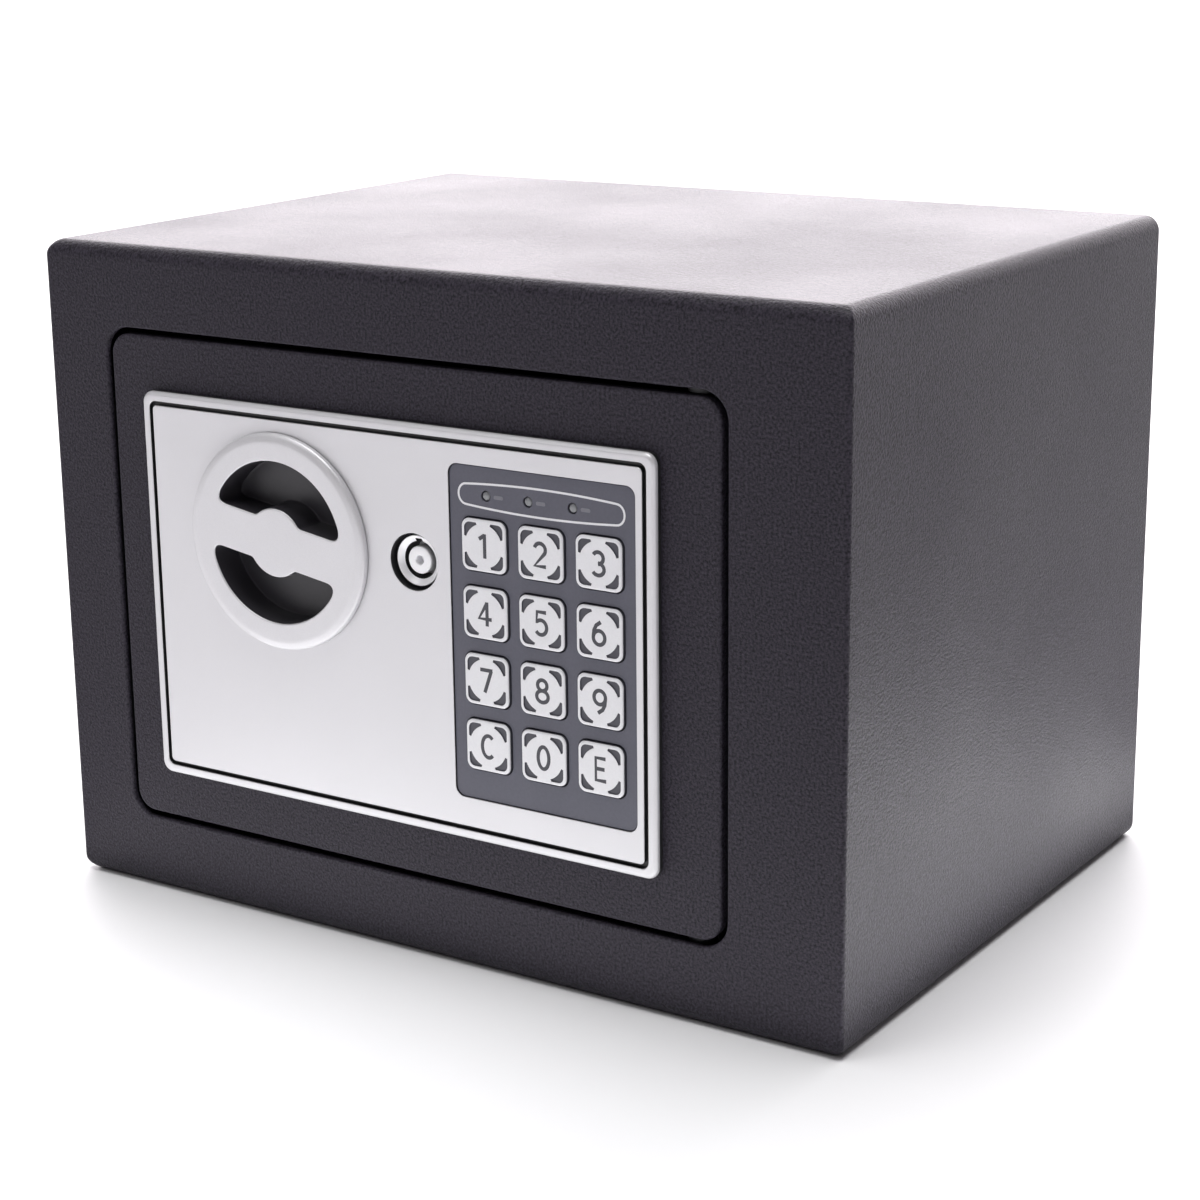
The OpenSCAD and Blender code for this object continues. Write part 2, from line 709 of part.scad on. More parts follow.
// Nickel plates and coil springs at both ends of the cells
module battery_contacts() color([0.8, 0.8, 0.82]) at_front()
    for (i = [0:3], end = [-1, 1]) {
        x = battery_x + (i - 1.5) * cell_pitch;
        plus_end = (i % 2 == 0 ? 1 : -1) == end;
        z_wall = battery_z + end * (battery_box_h / 2 - 1.2);
        translate([x, cell_y, z_wall - end * 0.25]) cube([10, 10, 0.5], center = true);
        if (!plus_end) for (k = [0:1])
            translate([x, cell_y, z_wall - end * (0.9 + k * 0.8)]) wire_ring(3.6 - 0.7 * k, 0.35);
    }

// ---- inner cover ----

module inner_cover() color([0.25, 0.25, 0.28]) at_front()
    difference() {
        union() {
            block(cover_x, [door_t, cover_back], cover_z);
            block([cover_x[0] + 6, cover_x[1] - 6], [door_t, door_t + cover_t],
                [cover_z[0] - flange_h, cover_z[1] + flange_h]);
        }
        block([cover_x[0] + cover_t, cover_x[1] - cover_t], [0, cover_back - cover_t],
            [cover_z[0] + cover_t, cover_z[1] - cover_t]);
        for (z = bolt_places) bar_x(bolt_y, z, bolt_r + 0.8, cover_x[0] - cut, cover_x[0] + cover_t + cut);
        for (p = cover_screw_places) bar_y(p[0], p[1], 1.7, 0, 10);
        // Battery opening and the reset button's hole
        translate([battery_x, 0, battery_z]) depth(cover_back - 5, cover_back + cut)
            round_rect(battery_box_w - 2, battery_box_h - 2.4, 1.2);
        bar_y(reset_x, board_z, 3.3, cover_back - 5, cover_back + cut);
        for (k = [-2:2]) bar_y(buzzer_x + 3 * k, board_z, 0.9, cover_back - 5, cover_back + cut);
    }

module cover_screws() color([0.7, 0.7, 0.72]) at_front()
    for (p = cover_screw_places) difference() {
        union() {
            bar_y(p[0], p[1], 1.5, door_t - 1.6, door_t + cover_t + 0.5);
            bar_y(p[0], p[1], 2.9, door_t + cover_t, door_t + cover_t + 2);
        }
        for (turn = [0, 90]) translate([p[0], door_t + cover_t + 2, p[1]]) rotate([0, turn, 0])
            cube([0.8, 2, 3.6], center = true);
    }

lid_y = [cover_back + 0.2, cover_back + 2];
module battery_cover() color([0.12, 0.12, 0.13]) at_front() {
    difference() {
        translate([battery_x, 0, battery_z]) depth(lid_y[0], lid_y[1])
            round_rect(battery_box_w + 4, battery_box_h + 3, 3);
        // Thumb grip
        for (k = [-1:1]) block([battery_x - 9, battery_x + 9], [lid_y[1] - 0.6, lid_y[1] + cut],
            [battery_z + 20 + 2.4 * k - 0.5, battery_z + 20 + 2.4 * k + 0.5]);
    }
    // Lip inside the opening
    translate([battery_x, 0, battery_z]) depth(cover_back - 0.8, lid_y[1] - 0.5) difference() {
        round_rect(battery_box_w - 3, battery_box_h - 3.4, 1);
        round_rect(battery_box_w - 6, battery_box_h - 6.4, 1);
    }
}

case_shell();
back_panel();
floor_mat();
strike_channel();
hinge_lug_upper();
hinge_lug_lower();
door_plate();
hinge_pins();
hinge_blocks();
panel_bezel();
bezel_screws();
keypad_surround();
led_lenses();
keypad_mat();
keypad_board();
lock_barrel();
lock_nut();
bolt_guide();
spindle_bridge();
guide_studs();
solenoid_frame();
solenoid_coil();
control_board();
board_posts();
buzzer();
reset_switch();
ribbon_cable();
battery_box();
battery_cells();
battery_contacts();
inner_cover();
cover_screws();
knob_grip();
knob_spindle();
spindle_clip();
crank();
carriage_plate();
locking_bolts();
plunger();
plunger_spring();
lock_plug();
lock_cam();
cam_screw();
key_1();
key_2();
key_3();
key_4();
key_5();
key_6();
key_7();
key_8();
key_9();
key_c();
key_0();
key_e();
reset_button();
battery_cover();
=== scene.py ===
import json
from math import asin, cos, degrees, pi, radians, sin

import bmesh
import bpy
from mathutils import Matrix, Vector
from mathutils.geometry import delaunay_2d_cdt


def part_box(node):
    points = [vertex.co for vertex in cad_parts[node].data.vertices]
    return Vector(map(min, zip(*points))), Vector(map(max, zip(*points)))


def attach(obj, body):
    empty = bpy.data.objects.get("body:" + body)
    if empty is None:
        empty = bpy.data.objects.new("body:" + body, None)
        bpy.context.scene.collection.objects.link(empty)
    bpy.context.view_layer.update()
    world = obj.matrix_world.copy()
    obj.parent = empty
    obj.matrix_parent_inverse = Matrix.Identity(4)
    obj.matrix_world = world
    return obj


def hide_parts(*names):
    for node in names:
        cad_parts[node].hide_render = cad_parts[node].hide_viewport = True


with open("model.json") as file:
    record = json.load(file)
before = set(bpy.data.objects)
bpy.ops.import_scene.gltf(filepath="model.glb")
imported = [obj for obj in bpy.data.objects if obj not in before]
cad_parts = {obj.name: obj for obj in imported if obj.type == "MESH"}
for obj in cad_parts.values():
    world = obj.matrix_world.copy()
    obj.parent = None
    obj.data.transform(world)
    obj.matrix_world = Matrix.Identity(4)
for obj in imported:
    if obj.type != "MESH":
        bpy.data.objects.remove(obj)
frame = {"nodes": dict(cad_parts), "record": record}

bl_info = {
    "name": "Small Keypad Safe",
    "version": (1, 0, 0),
    "blender": (4, 5, 0),
    "location": "View3D > Sidebar > Safe",
    "description": "Builds the visible pieces of a small electronic safe around its packed model",
    "category": "Object",
}

MM = 0.001


def low_high(node):
    """Lowest and highest corner of a model node, in metres."""
    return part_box(node)


def extent(node):
    """Lowest and highest corner of a node, and its depths behind the front sheet, near and far."""
    low, high = low_high(node)
    return low, high, low.y - FRONT, high.y - FRONT


def middle(node):
    """Middle of a node's box."""
    low, high = low_high(node)
    return (low + high) / 2


def joint(name):
    """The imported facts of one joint."""
    return next(j for j in frame["record"]["behaviour"]["joints"] if j["name"] == name)


def mount(name):
    """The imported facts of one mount."""
    return next(m for m in frame["record"]["mounts"] if m["name"] == name)


CASE_LOW, CASE_HIGH = low_high("case_shell")
DOOR_LOW, DOOR_HIGH = low_high("door_plate")
FRONT = CASE_LOW.y
THROUGH = 10 * MM       # how far a cutter stands out of what it cuts
KNOB_WELL = 23.1 * MM   # radius of the panel's hole for the knob
LOCK_HOLE = 7 * MM      # radius of the panel's hole for the lock
LOCK_BODY = 5.7 * MM    # radius of the lock's barrel behind its head
LOCK_BORE = 4.6 * MM    # radius of the barrel's bore
PANEL_SCREW = 4 * MM    # radius of the washers of the panel's screws
COVER_SCREW = 2.9 * MM  # radius of the heads of the inner cover's screws
KEY_NAMES = ("1", "2", "3", "4", "5", "6", "7", "8", "9", "c", "0", "e")
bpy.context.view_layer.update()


# ---- settings ----

class SafeSizes(bpy.types.PropertyGroup):
    """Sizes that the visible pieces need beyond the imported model"""
    sheet: bpy.props.FloatProperty(
        name="Case sheet", description="Thickness of the case sheet", default=1.2 * MM, unit="LENGTH")
    case_round: bpy.props.FloatProperty(
        name="Case edge", description="Radius of the long edges of the case", default=4 * MM, unit="LENGTH")
    front_round: bpy.props.FloatProperty(
        name="Upright edge", description="Radius of the upright front edges", default=1.2 * MM, unit="LENGTH")
    door_gap: bpy.props.FloatProperty(
        name="Door gap", description="Gap between the door and its opening", default=1.5 * MM, unit="LENGTH")
    door_corner: bpy.props.FloatProperty(
        name="Door corner", description="Corner radius of the door plate", default=5.5 * MM, unit="LENGTH")
    sheet_edge: bpy.props.FloatProperty(
        name="Coated edge", description="Rounding of a coated sheet edge", default=0.7 * MM, unit="LENGTH")
    rim: bpy.props.FloatProperty(
        name="Panel rim", description="Width of the front panel's rim", default=2.3 * MM, unit="LENGTH")
    groove: bpy.props.FloatProperty(
        name="Panel groove", description="Width of the groove in the rim", default=1.1 * MM, unit="LENGTH")
    bar_tilt: bpy.props.FloatProperty(
        name="Knob bar tilt", description="How far the knob's bar leans", default=radians(9), unit="ROTATION")
    peel: bpy.props.FloatProperty(
        name="Coat grain", description="Grains of the coat's orange peel in a metre", default=1550.0)


class SafeColours(bpy.types.PropertyGroup):
    """Colours of the main finishes"""
    coat: bpy.props.FloatVectorProperty(
        name="Coat", description="Powder coat", default=(0.0245, 0.0215, 0.0295), subtype="COLOR", size=3)
    silver: bpy.props.FloatVectorProperty(
        name="Silver paint", description="Front panel and knob", default=(0.62, 0.615, 0.635),
        subtype="COLOR", size=3)
    pad: bpy.props.FloatVectorProperty(
        name="Keypad", description="Keypad surround", default=(0.075, 0.075, 0.1), subtype="COLOR", size=3)
    key: bpy.props.FloatVectorProperty(
        name="Key", description="Printed silver of the keys", default=(0.68, 0.68, 0.7),
        subtype="COLOR", size=3)
    # Black also stands for painted shade on the panel's groove, hole walls and edge band, and in the lock's
    # bore and notch.
    black: bpy.props.FloatVectorProperty(
        name="Black plastic", description="Unpainted plastic", default=(0.012, 0.012, 0.013),
        subtype="COLOR", size=3)


def sizes():
    """The scene's SafeSizes."""
    return bpy.context.scene.safe_sizes


def colours():
    """The scene's SafeColours."""
    return bpy.context.scene.safe_colours


# ---- outlines: closed lists of (x, z), counter-clockwise from the front ----

def arc(x, z, r, start, end, steps):
    """Points along a circular arc, both ends included; angles in degrees."""
    turns = [radians(start + (end - start) * i / steps) for i in range(steps + 1)]
    return [(x + r * cos(t), z + r * sin(t)) for t in turns]


def circle(x, z, r, steps=64):
    """Full circle about (x, z)."""
    return arc(x, z, r, 0, 360, steps)[:-1]


def rounded_rect(x, z, w, h, r, steps=8):
    """Rectangle with round corners about (x, z)."""
    points = []
    for sx, sz, start in ((1, 1, 0), (-1, 1, 90), (-1, -1, 180), (1, -1, 270)):
        points += arc(x + sx * (w / 2 - r), z + sz * (h / 2 - r), r, start, start + 90, steps)
    return points


def box_outline(low, high, r, steps=8, margin=0.0):
    """Rounded rectangle over a node's box seen from the front, grown by a margin."""
    low = low - Vector((margin,) * 3)
    high = high + Vector((margin,) * 3)
    return rounded_rect((low.x + high.x) / 2, (low.z + high.z) / 2, high.x - low.x, high.z - low.z, r, steps)


def turned(points, x, z, angle):
    """Outline turned about (x, z); a positive angle is counter-clockwise from the front."""
    c, s = cos(angle), sin(angle)
    return [(x + (px - x) * c - (pz - z) * s, z + (px - x) * s + (pz - z) * c) for px, pz in points]


def soften(points, corners, reach, steps=5):
    """Replaces the corners at the given indexes by short curves that start and end a reach away."""
    result = []
    for i, point in enumerate(points):
        here = Vector(point)
        if i in corners:
            before = walked(points, i, -1, reach)
            after = walked(points, i, 1, reach)
            for k in range(steps + 1):
                t = k / steps
                result.append(tuple(before * (1 - t) ** 2 + here * 2 * t * (1 - t) + after * t * t))
        elif all((Vector(points[c]) - here).length >= reach for c in corners):
            result.append(point)
    return result


def walked(points, i, step, reach):
    """Point at a distance along the outline from the point i."""
    here = Vector(points[i])
    left = reach
    while True:
        i = (i + step) % len(points)
        there = Vector(points[i])
        length = (there - here).length
        if length >= left:
            return here.lerp(there, left / length)
        left -= length
        here = there


def grown(points, distance):
    """Outline moved outwards by a distance (inwards if negative)."""
    result = []
    count = len(points)
    shortest = 1e-9   # a shorter step has no direction of its own
    blunt = 0.5       # a sharper corner isn't followed to its tip
    for i in range(count):
        a, b, c = (Vector(points[(i + k) % count]) for k in (-1, 0, 1))
        d1, d2 = b - a, c - b
        if d1.length < shortest or d2.length < shortest:
            d1 = d2 = c - a
        n1 = Vector((d1.y, -d1.x)).normalized()
        n2 = Vector((d2.y, -d2.x)).normalized()
        n = (n1 + n2).normalized()
        result.append(tuple(b + n * distance / max(n.dot(n1), blunt)))
    return result


def inside(point, outline):
    """Whether a point lies in an outline."""
    x, z = point
    hit = False
    for (x1, z1), (x2, z2) in zip(outline, outline[1:] + outline[:1]):
        if (z1 > z) != (z2 > z) and x < (x2 - x1) * (z - z1) / (z2 - z1) + x1:
            hit = not hit
    return hit


def fillet(radius, depth, inward=1, steps=4):
    """Profile of a rounded edge: (offset, depth) pairs from the face at a depth round the corner."""
    result = []
    for i in range(steps + 1):
        a = pi / 2 * i / steps
        result.append((-radius * (1 - sin(a)), depth + inward * radius * (1 - cos(a))))
    return result


def hole_fillet(radius, depth, steps=4):
    """Profile of a hole's rounded edge, which is wider at the face."""
    return [(-offset, d) for offset, d in fillet(radius, depth, 1, steps)]


# ---- building shells ----

class Shell:
    """A closed mesh made of rings of points, skirts between rings and flat caps."""

    def __init__(self):
        self.bm = bmesh.new()

    def ring(self, points, depth):
        """Ring at one depth behind the front sheet, or at a depth for each point."""
        depths = depth if isinstance(depth, list) else [depth] * len(points)
        return [self.bm.verts.new((x, FRONT + d, z)) for (x, z), d in zip(points, depths)]

    def skirt(self, a, b, material=0):
        """Faces between two rings with the same number of points."""
        for i in range(len(a)):
            k = (i + 1) % len(a)
            face = self.bm.faces.new((a[i], a[k], b[k], b[i]))
            face.material_index = material

    def wall(self, outline, profile, materials=0):
        """Rings along a profile of (offset, depth) pairs; gives back the first and the last ring.

        A list of materials goes band by band, and its last one is kept for the bands that are left."""
        rings = [self.ring(grown(outline, offset), depth) for offset, depth in profile]
        bands = [materials] if isinstance(materials, int) else materials
        for i in range(len(rings) - 1):
            self.skirt(rings[i], rings[i + 1], bands[min(i, len(bands) - 1)])
        return rings[0], rings[-1]

    def walls(self, outlines, profile, materials=0):
        """The same wall round several outlines; gives back all first rings and all last rings."""
        return zip(*[self.wall(outline, profile, materials) for outline in outlines])

    def cap(self, outer, holes=(), material=0):
        """Flat face between one ring and the rings of its holes."""
        rings = [outer, *holes]
        verts = [v for ring in rings for v in ring]
        points = [Vector((v.co.x, v.co.z)) for v in verts]
        edges = []
        start = 0
        for ring in rings:
            edges += [(start + i, start + (i + 1) % len(ring)) for i in range(len(ring))]
            start += len(ring)
        _, _, faces, origin, _, _ = delaunay_2d_cdt(points, edges, [], 1, 1e-9)
        if len(origin) > len(points):
            raise ValueError("the outlines of a cap cross each other")
        gaps = [[(v.co.x, v.co.z) for v in ring] for ring in holes]
        for face in faces:
            corner = [verts[origin[i][0]] for i in face]
            centre = sum((Vector((v.co.x, v.co.z)) for v in corner), Vector((0, 0))) / len(corner)
            if any(inside(centre, gap) for gap in gaps):
                continue
            new = self.bm.faces.new(corner)
            new.material_index = material

    def mesh(self, name):
        """Closed mesh of the shell, with its faces outwards; the shell is used up."""
        bmesh.ops.remove_doubles(self.bm, verts=self.bm.verts, dist=1e-7)
        bmesh.ops.recalc_face_normals(self.bm, faces=self.bm.faces)
        return mesh_of(self.bm, name)

    def made(self, name, *slots):
        """Object of the shell in the finishes of the given slots."""
        return new_object(name, self.mesh(name), [finish_of(slot) for slot in slots])


def mesh_of(bm, name):
    """New mesh from a bmesh, which is freed."""
    mesh = bpy.data.meshes.new(name)
    bm.to_mesh(mesh)
    bm.free()
    return mesh


def block(name, low, high):
    """Plain box cutter between two corners."""
    bm = bmesh.new()
    low, high = Vector(low), Vector(high)
    bmesh.ops.create_cube(
        bm, size=1, matrix=Matrix.Translation((low + high) / 2) @ Matrix.Diagonal((*(high - low), 1)))
    return new_object(name, mesh_of(bm, name))


def new_object(name, mesh, materials=()):
    """Object of a mesh in the scene, with its materials."""
    obj = bpy.data.objects.new(name, mesh)
    bpy.context.scene.collection.objects.link(obj)
    for material in materials:
        mesh.materials.append(material)
    return obj


def settle(obj, angle=35.0):
    """Smooth shading with flat faces kept flat; every modifier is applied."""
    for polygon in obj.data.polygons:
        polygon.use_smooth = True
    obj.data.set_sharp_from_angle(angle=radians(angle))
    weighted = obj.modifiers.new("weighted normals", "WEIGHTED_NORMAL")
    weighted.keep_sharp = True
    weighted.weight = 90
    apply_modifiers(obj)


def evaluated_mesh(obj):
    """Plain mesh of an object with its modifiers and curves worked out."""
    graph = bpy.context.evaluated_depsgraph_get()
    return bpy.data.meshes.new_from_object(obj.evaluated_get(graph), depsgraph=graph)


def apply_modifiers(obj):
    """Gives an object its evaluated mesh in place of its modifiers."""
    mesh = evaluated_mesh(obj)
    mesh.name = obj.name
    obj.modifiers.clear()
    obj.data = mesh


def cut_with(obj, cutters):
    """Takes the cutters' volume out of an object, and deletes the cutters."""
    for cutter in cutters:
        modifier = obj.modifiers.new("cut", "BOOLEAN")
        modifier.operation = "DIFFERENCE"
        modifier.solver = "EXACT"
        modifier.object = cutter
    apply_modifiers(obj)
    for cutter in cutters:
        bpy.data.objects.remove(cutter, do_unlink=True)


def rod(name, start, end, radius, sides=48):
    """Plain round cutter between two points."""
    start, end = Vector(start), Vector(end)
    bm = bmesh.new()
    turn = (end - start).to_track_quat("Z", "Y").to_matrix().to_4x4()
    bmesh.ops.create_cone(
        bm, cap_ends=True, segments=sides, radius1=radius, radius2=radius, depth=(end - start).length,
        matrix=Matrix.Translation((start + end) / 2) @ turn)
    return new_object(name, mesh_of(bm, name))


def joined(name, objects):
    """One object of several, in the order given."""
    bm = bmesh.new()
    materials = []
    for obj in objects:
        start = len(materials)
        materials += list(obj.data.materials)
        before = len(bm.faces)
        bm.from_mesh(obj.data)
        bm.faces.ensure_lookup_table()
        for face in bm.faces[before:]:
            face.material_index += start
        bpy.data.objects.remove(obj, do_unlink=True)
    return new_object(name, mesh_of(bm, name), materials)


def place(obj, body, slot, *nodes):
    """Rides a finished piece on its body, in place of its model nodes."""
    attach(obj, body)
    if nodes:
        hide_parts(*nodes)


# ---- materials ----

class Finish:
    """A node-based material under construction, on Object coordinates."""

    def __init__(self, name, colour, roughness, metallic=0.0, **sockets):
        self.material = bpy.data.materials.new(name)
        self.material.use_nodes = True
        self.tree = self.material.node_tree
        self.shader = self.tree.nodes["Principled BSDF"]
        self.place = self.tree.nodes.new("ShaderNodeTexCoord").outputs["Object"]
        self.shader.inputs["Base Color"].default_value = (*colour, 1)
        self.shader.inputs["Roughness"].default_value = roughness
        self.shader.inputs["Metallic"].default_value = metallic
        for socket, value in sockets.items():
            self.shader.inputs[socket.replace("_", " ")].default_value = value
        self.colour = colour
        self.normal = None

    def stretched(self, scale):
        """Object coordinates scaled by a factor on each axis."""
        node = self.tree.nodes.new("ShaderNodeMapping")
        node.inputs["Scale"].default_value = scale
        self.tree.links.new(self.place, node.inputs["Vector"])
        return node.outputs["Vector"]

    def noise(self, scale, detail=2.0, rough=0.5, vector=None):
        """Noise with so many grains in a metre."""
        node = self.tree.nodes.new("ShaderNodeTexNoise")
        node.inputs["Scale"].default_value = scale
        node.inputs["Detail"].default_value = detail
        node.inputs["Roughness"].default_value = rough
        self.tree.links.new(vector or self.place, node.inputs["Vector"])
        return node.outputs["Fac"]

    def ranged(self, value, low, high, to_low, to_high):
        """Value from one range to another, clamped."""
        node = self.tree.nodes.new("ShaderNodeMapRange")
        for socket, number in zip(("From Min", "From Max", "To Min", "To Max"), (low, high, to_low, to_high)):
            node.inputs[socket].default_value = number
        self.tree.links.new(value, node.inputs["Value"])
        return node.outputs["Result"]

    def bump(self, height, strength, distance):
        """Adds a layer of relief on the layers before it."""
        node = self.tree.nodes.new("ShaderNodeBump")
        node.inputs["Strength"].default_value = strength
        node.inputs["Distance"].default_value = distance
        self.tree.links.new(height, node.inputs["Height"])
        if self.normal:
            self.tree.links.new(self.normal, node.inputs["Normal"])
        self.normal = node.outputs["Normal"]
        self.tree.links.new(self.normal, self.shader.inputs["Normal"])

    def shade(self, factor, low, high):
        """Base colour from one to another by a factor."""
        node = self.tree.nodes.new("ShaderNodeValToRGB")
        node.color_ramp.elements[0].color = (*low, 1)
        node.color_ramp.elements[1].color = (*high, 1)
        self.tree.links.new(factor, node.inputs["Fac"])
        self.tree.links.new(node.outputs["Color"], self.shader.inputs["Base Color"])
        return node.color_ramp

    def mottle(self, factor, darker, lighter):
        """Colour between a darker and a lighter shade of the base."""
        self.shade(factor, [c * darker for c in self.colour], [min(1.0, c * lighter) for c in self.colour])

    def vary_roughness(self, factor, low, high):
        """Roughness between two values by a noise."""
        self.tree.links.new(self.ranged(factor, 0.3, 0.7, low, high), self.shader.inputs["Roughness"])


def powder_coat():
    """Charcoal powder coat with an orange peel; its colour is lighter on the peel's raised grains as painted
    glints and darker in its dips as painted shade.
    """
    f = Finish("powder coat", colours().coat, 0.42, Specular_IOR_Level=0.12)
    peel = f.noise(sizes().peel, 2.5, 0.6)
    f.bump(peel, 0.7, 0.00045)
    f.bump(f.noise(sizes().peel * 2.4, 2.0), 0.25, 0.0002)
    # Colour follows the peel: painted glints on raised grains, painted shade in the dips.
    f.mottle(f.ranged(peel, 0.34, 0.66, 0.0, 1.0), 0.45, 1.7)
    f.vary_roughness(f.noise(14.0, 3.0), 0.36, 0.44)
    return f.material


def inner_coat():
    """Finer grey coat of the inner cover."""
    f = Finish("inner coat", (0.055, 0.055, 0.062), 0.45)
    grain = f.noise(1100.0, 2.0)
    f.bump(grain, 0.5, 0.0003)
    f.mottle(grain, 0.85, 1.2)
    return f.material


def silver_paint():
    """Metallic silver paint on plastic."""
    f = Finish("silver paint", colours().silver, 0.38, 0.35)
    flake = f.noise(5200.0, 1.0)
    f.bump(flake, 0.18, 0.00006)
    f.bump(f.noise(160.0, 2.0), 0.12, 0.0002)
    f.mottle(flake, 0.93, 1.05)
    f.vary_roughness(f.noise(60.0, 3.0), 0.36, 0.42)
    return f.material


def black_plastic():
    """Black moulded plastic with a fine spark texture; also laid on the panel's groove, hole walls and edge
    band and in the lock's bore and notch as painted shade.
    """
    f = Finish("black plastic", colours().black, 0.42)
    grain = f.noise(1900.0, 2.0)
    f.bump(grain, 0.3, 0.0001)
    f.mottle(grain, 0.8, 1.35)
    f.vary_roughness(f.noise(90.0, 3.0), 0.36, 0.5)
    return f.material


def keypad_grey():
    """Grey keypad surround."""
    f = Finish("keypad grey", colours().pad, 0.48)
    grain = f.noise(1500.0, 2.0)
    f.bump(grain, 0.25, 0.00008)
    f.mottle(grain, 0.9, 1.12)
    f.vary_roughness(f.noise(80.0, 3.0), 0.44, 0.54)
    return f.material


def key_silver():
    """Silver of the keys and of the printed lines."""
    f = Finish("key silver", colours().key, 0.42, 0.15)
    grain = f.noise(2600.0, 2.0)
    f.bump(grain, 0.15, 0.00005)
    f.mottle(grain, 0.94, 1.05)
    return f.material


def print_ink():
    """Dark print on the keys."""
    f = Finish("print ink", (0.045, 0.045, 0.055), 0.55)
    f.mottle(f.noise(2400.0, 2.0), 0.8, 1.25)
    return f.material


def lamp_clear():
    """Milky lamp lens."""
    f = Finish("lamp lens", (0.2, 0.205, 0.215), 0.3, Coat_Weight=0.2)
    f.mottle(f.noise(900.0), 0.9, 1.1)
    return f.material


def polished(name, colour, roughness, brushed=(1.0, 1.0, 1.0), depth=0.00003):
    """Bare or plated metal with fine marks."""
    f = Finish(name, colour, roughness, 1.0)
    marks = f.noise(420.0, 4.0, 0.6, f.stretched(brushed))
    f.bump(marks, 0.25, depth)
    f.mottle(marks, 0.9, 1.06)
    f.vary_roughness(f.noise(120.0, 3.0), roughness * 0.8, roughness * 1.25)
    return f.material


def yellow_zinc():
    """Passivated zinc with its rainbow stain."""
    f = Finish("yellow zinc", (0.62, 0.55, 0.36), 0.34, 1.0)
    stain = f.noise(45.0, 3.0, 0.6)
    ramp = f.shade(stain, f.colour, (0.6, 0.58, 0.5))
    ramp.elements[0].position = 0.35
    ramp.elements[1].position = 0.62
    ramp.elements.new(0.5).color = (0.66, 0.5, 0.38, 1)
    f.bump(f.noise(700.0, 3.0), 0.2, 0.00004)
    return f.material


def dark_steel():
    """Black painted steel."""
    f = Finish("dark steel", (0.013, 0.013, 0.015), 0.45)
    grain = f.noise(750.0, 2.0)
    f.bump(grain, 0.4, 0.0003)
    f.mottle(grain, 0.8, 1.3)
    return f.material


def felt():
    """Thin black felt."""
    f = Finish("felt", (0.014, 0.014, 0.016), 0.95, Sheen_Weight=0.4, Sheen_Roughness=0.5)
    fibres = f.noise(1400.0, 5.0, 0.7)
    f.bump(fibres, 0.9, 0.0005)
    f.bump(f.noise(160.0, 3.0), 0.5, 0.0006)
    f.mottle(fibres, 0.55, 1.9)
    return f.material


def circuit_board():
    """Green board with darker tracks."""
    f = Finish("circuit board", (0.012, 0.11, 0.045), 0.3)
    tracks = f.tree.nodes.new("ShaderNodeTexBrick")
    tracks.inputs["Scale"].default_value = 260.0
    tracks.inputs["Mortar Size"].default_value = 0.03
    tracks.inputs["Color1"].default_value = (*f.colour, 1)
    tracks.inputs["Color2"].default_value = (0.01, 0.085, 0.036, 1)
    tracks.inputs["Mortar"].default_value = (0.03, 0.2, 0.09, 1)
    upright = f.tree.nodes.new("ShaderNodeMapping")
    upright.inputs["Rotation"].default_value = (radians(90), 0, 0)
    f.tree.links.new(f.place, upright.inputs["Vector"])
    f.tree.links.new(upright.outputs["Vector"], tracks.inputs["Vector"])
    f.tree.links.new(tracks.outputs["Color"], f.shader.inputs["Base Color"])
    f.bump(f.noise(600.0), 0.1, 0.00005)
    return f.material


def winding():
    """Copper wire wound about an upright core."""
    f = Finish("copper winding", (0.55, 0.2, 0.07), 0.32, 0.9)
    turns = f.tree.nodes.new("ShaderNodeTexWave")
    turns.bands_direction = "Z"
    turns.inputs["Scale"].default_value = 620.0
    f.tree.links.new(f.place, turns.inputs["Vector"])
    f.bump(turns.outputs["Fac"], 0.7, 0.0002)
    f.mottle(turns.outputs["Fac"], 0.6, 1.2)
    return f.material


def cell_sleeve():
    """Plain two-colour sleeve of a battery cell."""
    f = Finish("cell sleeve", (0.01, 0.05, 0.2), 0.28, Coat_Weight=0.4)
    split = f.tree.nodes.new("ShaderNodeSeparateXYZ")
    f.tree.links.new(f.place, split.inputs[0])
    level = middle("battery_cells").z + 14 * MM
    band = f.ranged(split.outputs["Z"], level, level + 0.5 * MM, 0.0, 1.0)
    f.shade(band, f.colour, (0.6, 0.42, 0.16))
    f.bump(f.noise(300.0), 0.08, 0.0001)
    return f.material


def plain_plastic(name, colour, roughness):
    """Moulded plastic in one colour, faintly grained."""
    f = Finish(name, colour, roughness)
    grain = f.noise(1300.0, 2.0)
    f.bump(grain, 0.2, 0.00008)
    f.mottle(grain, 0.88, 1.12)
    return f.material


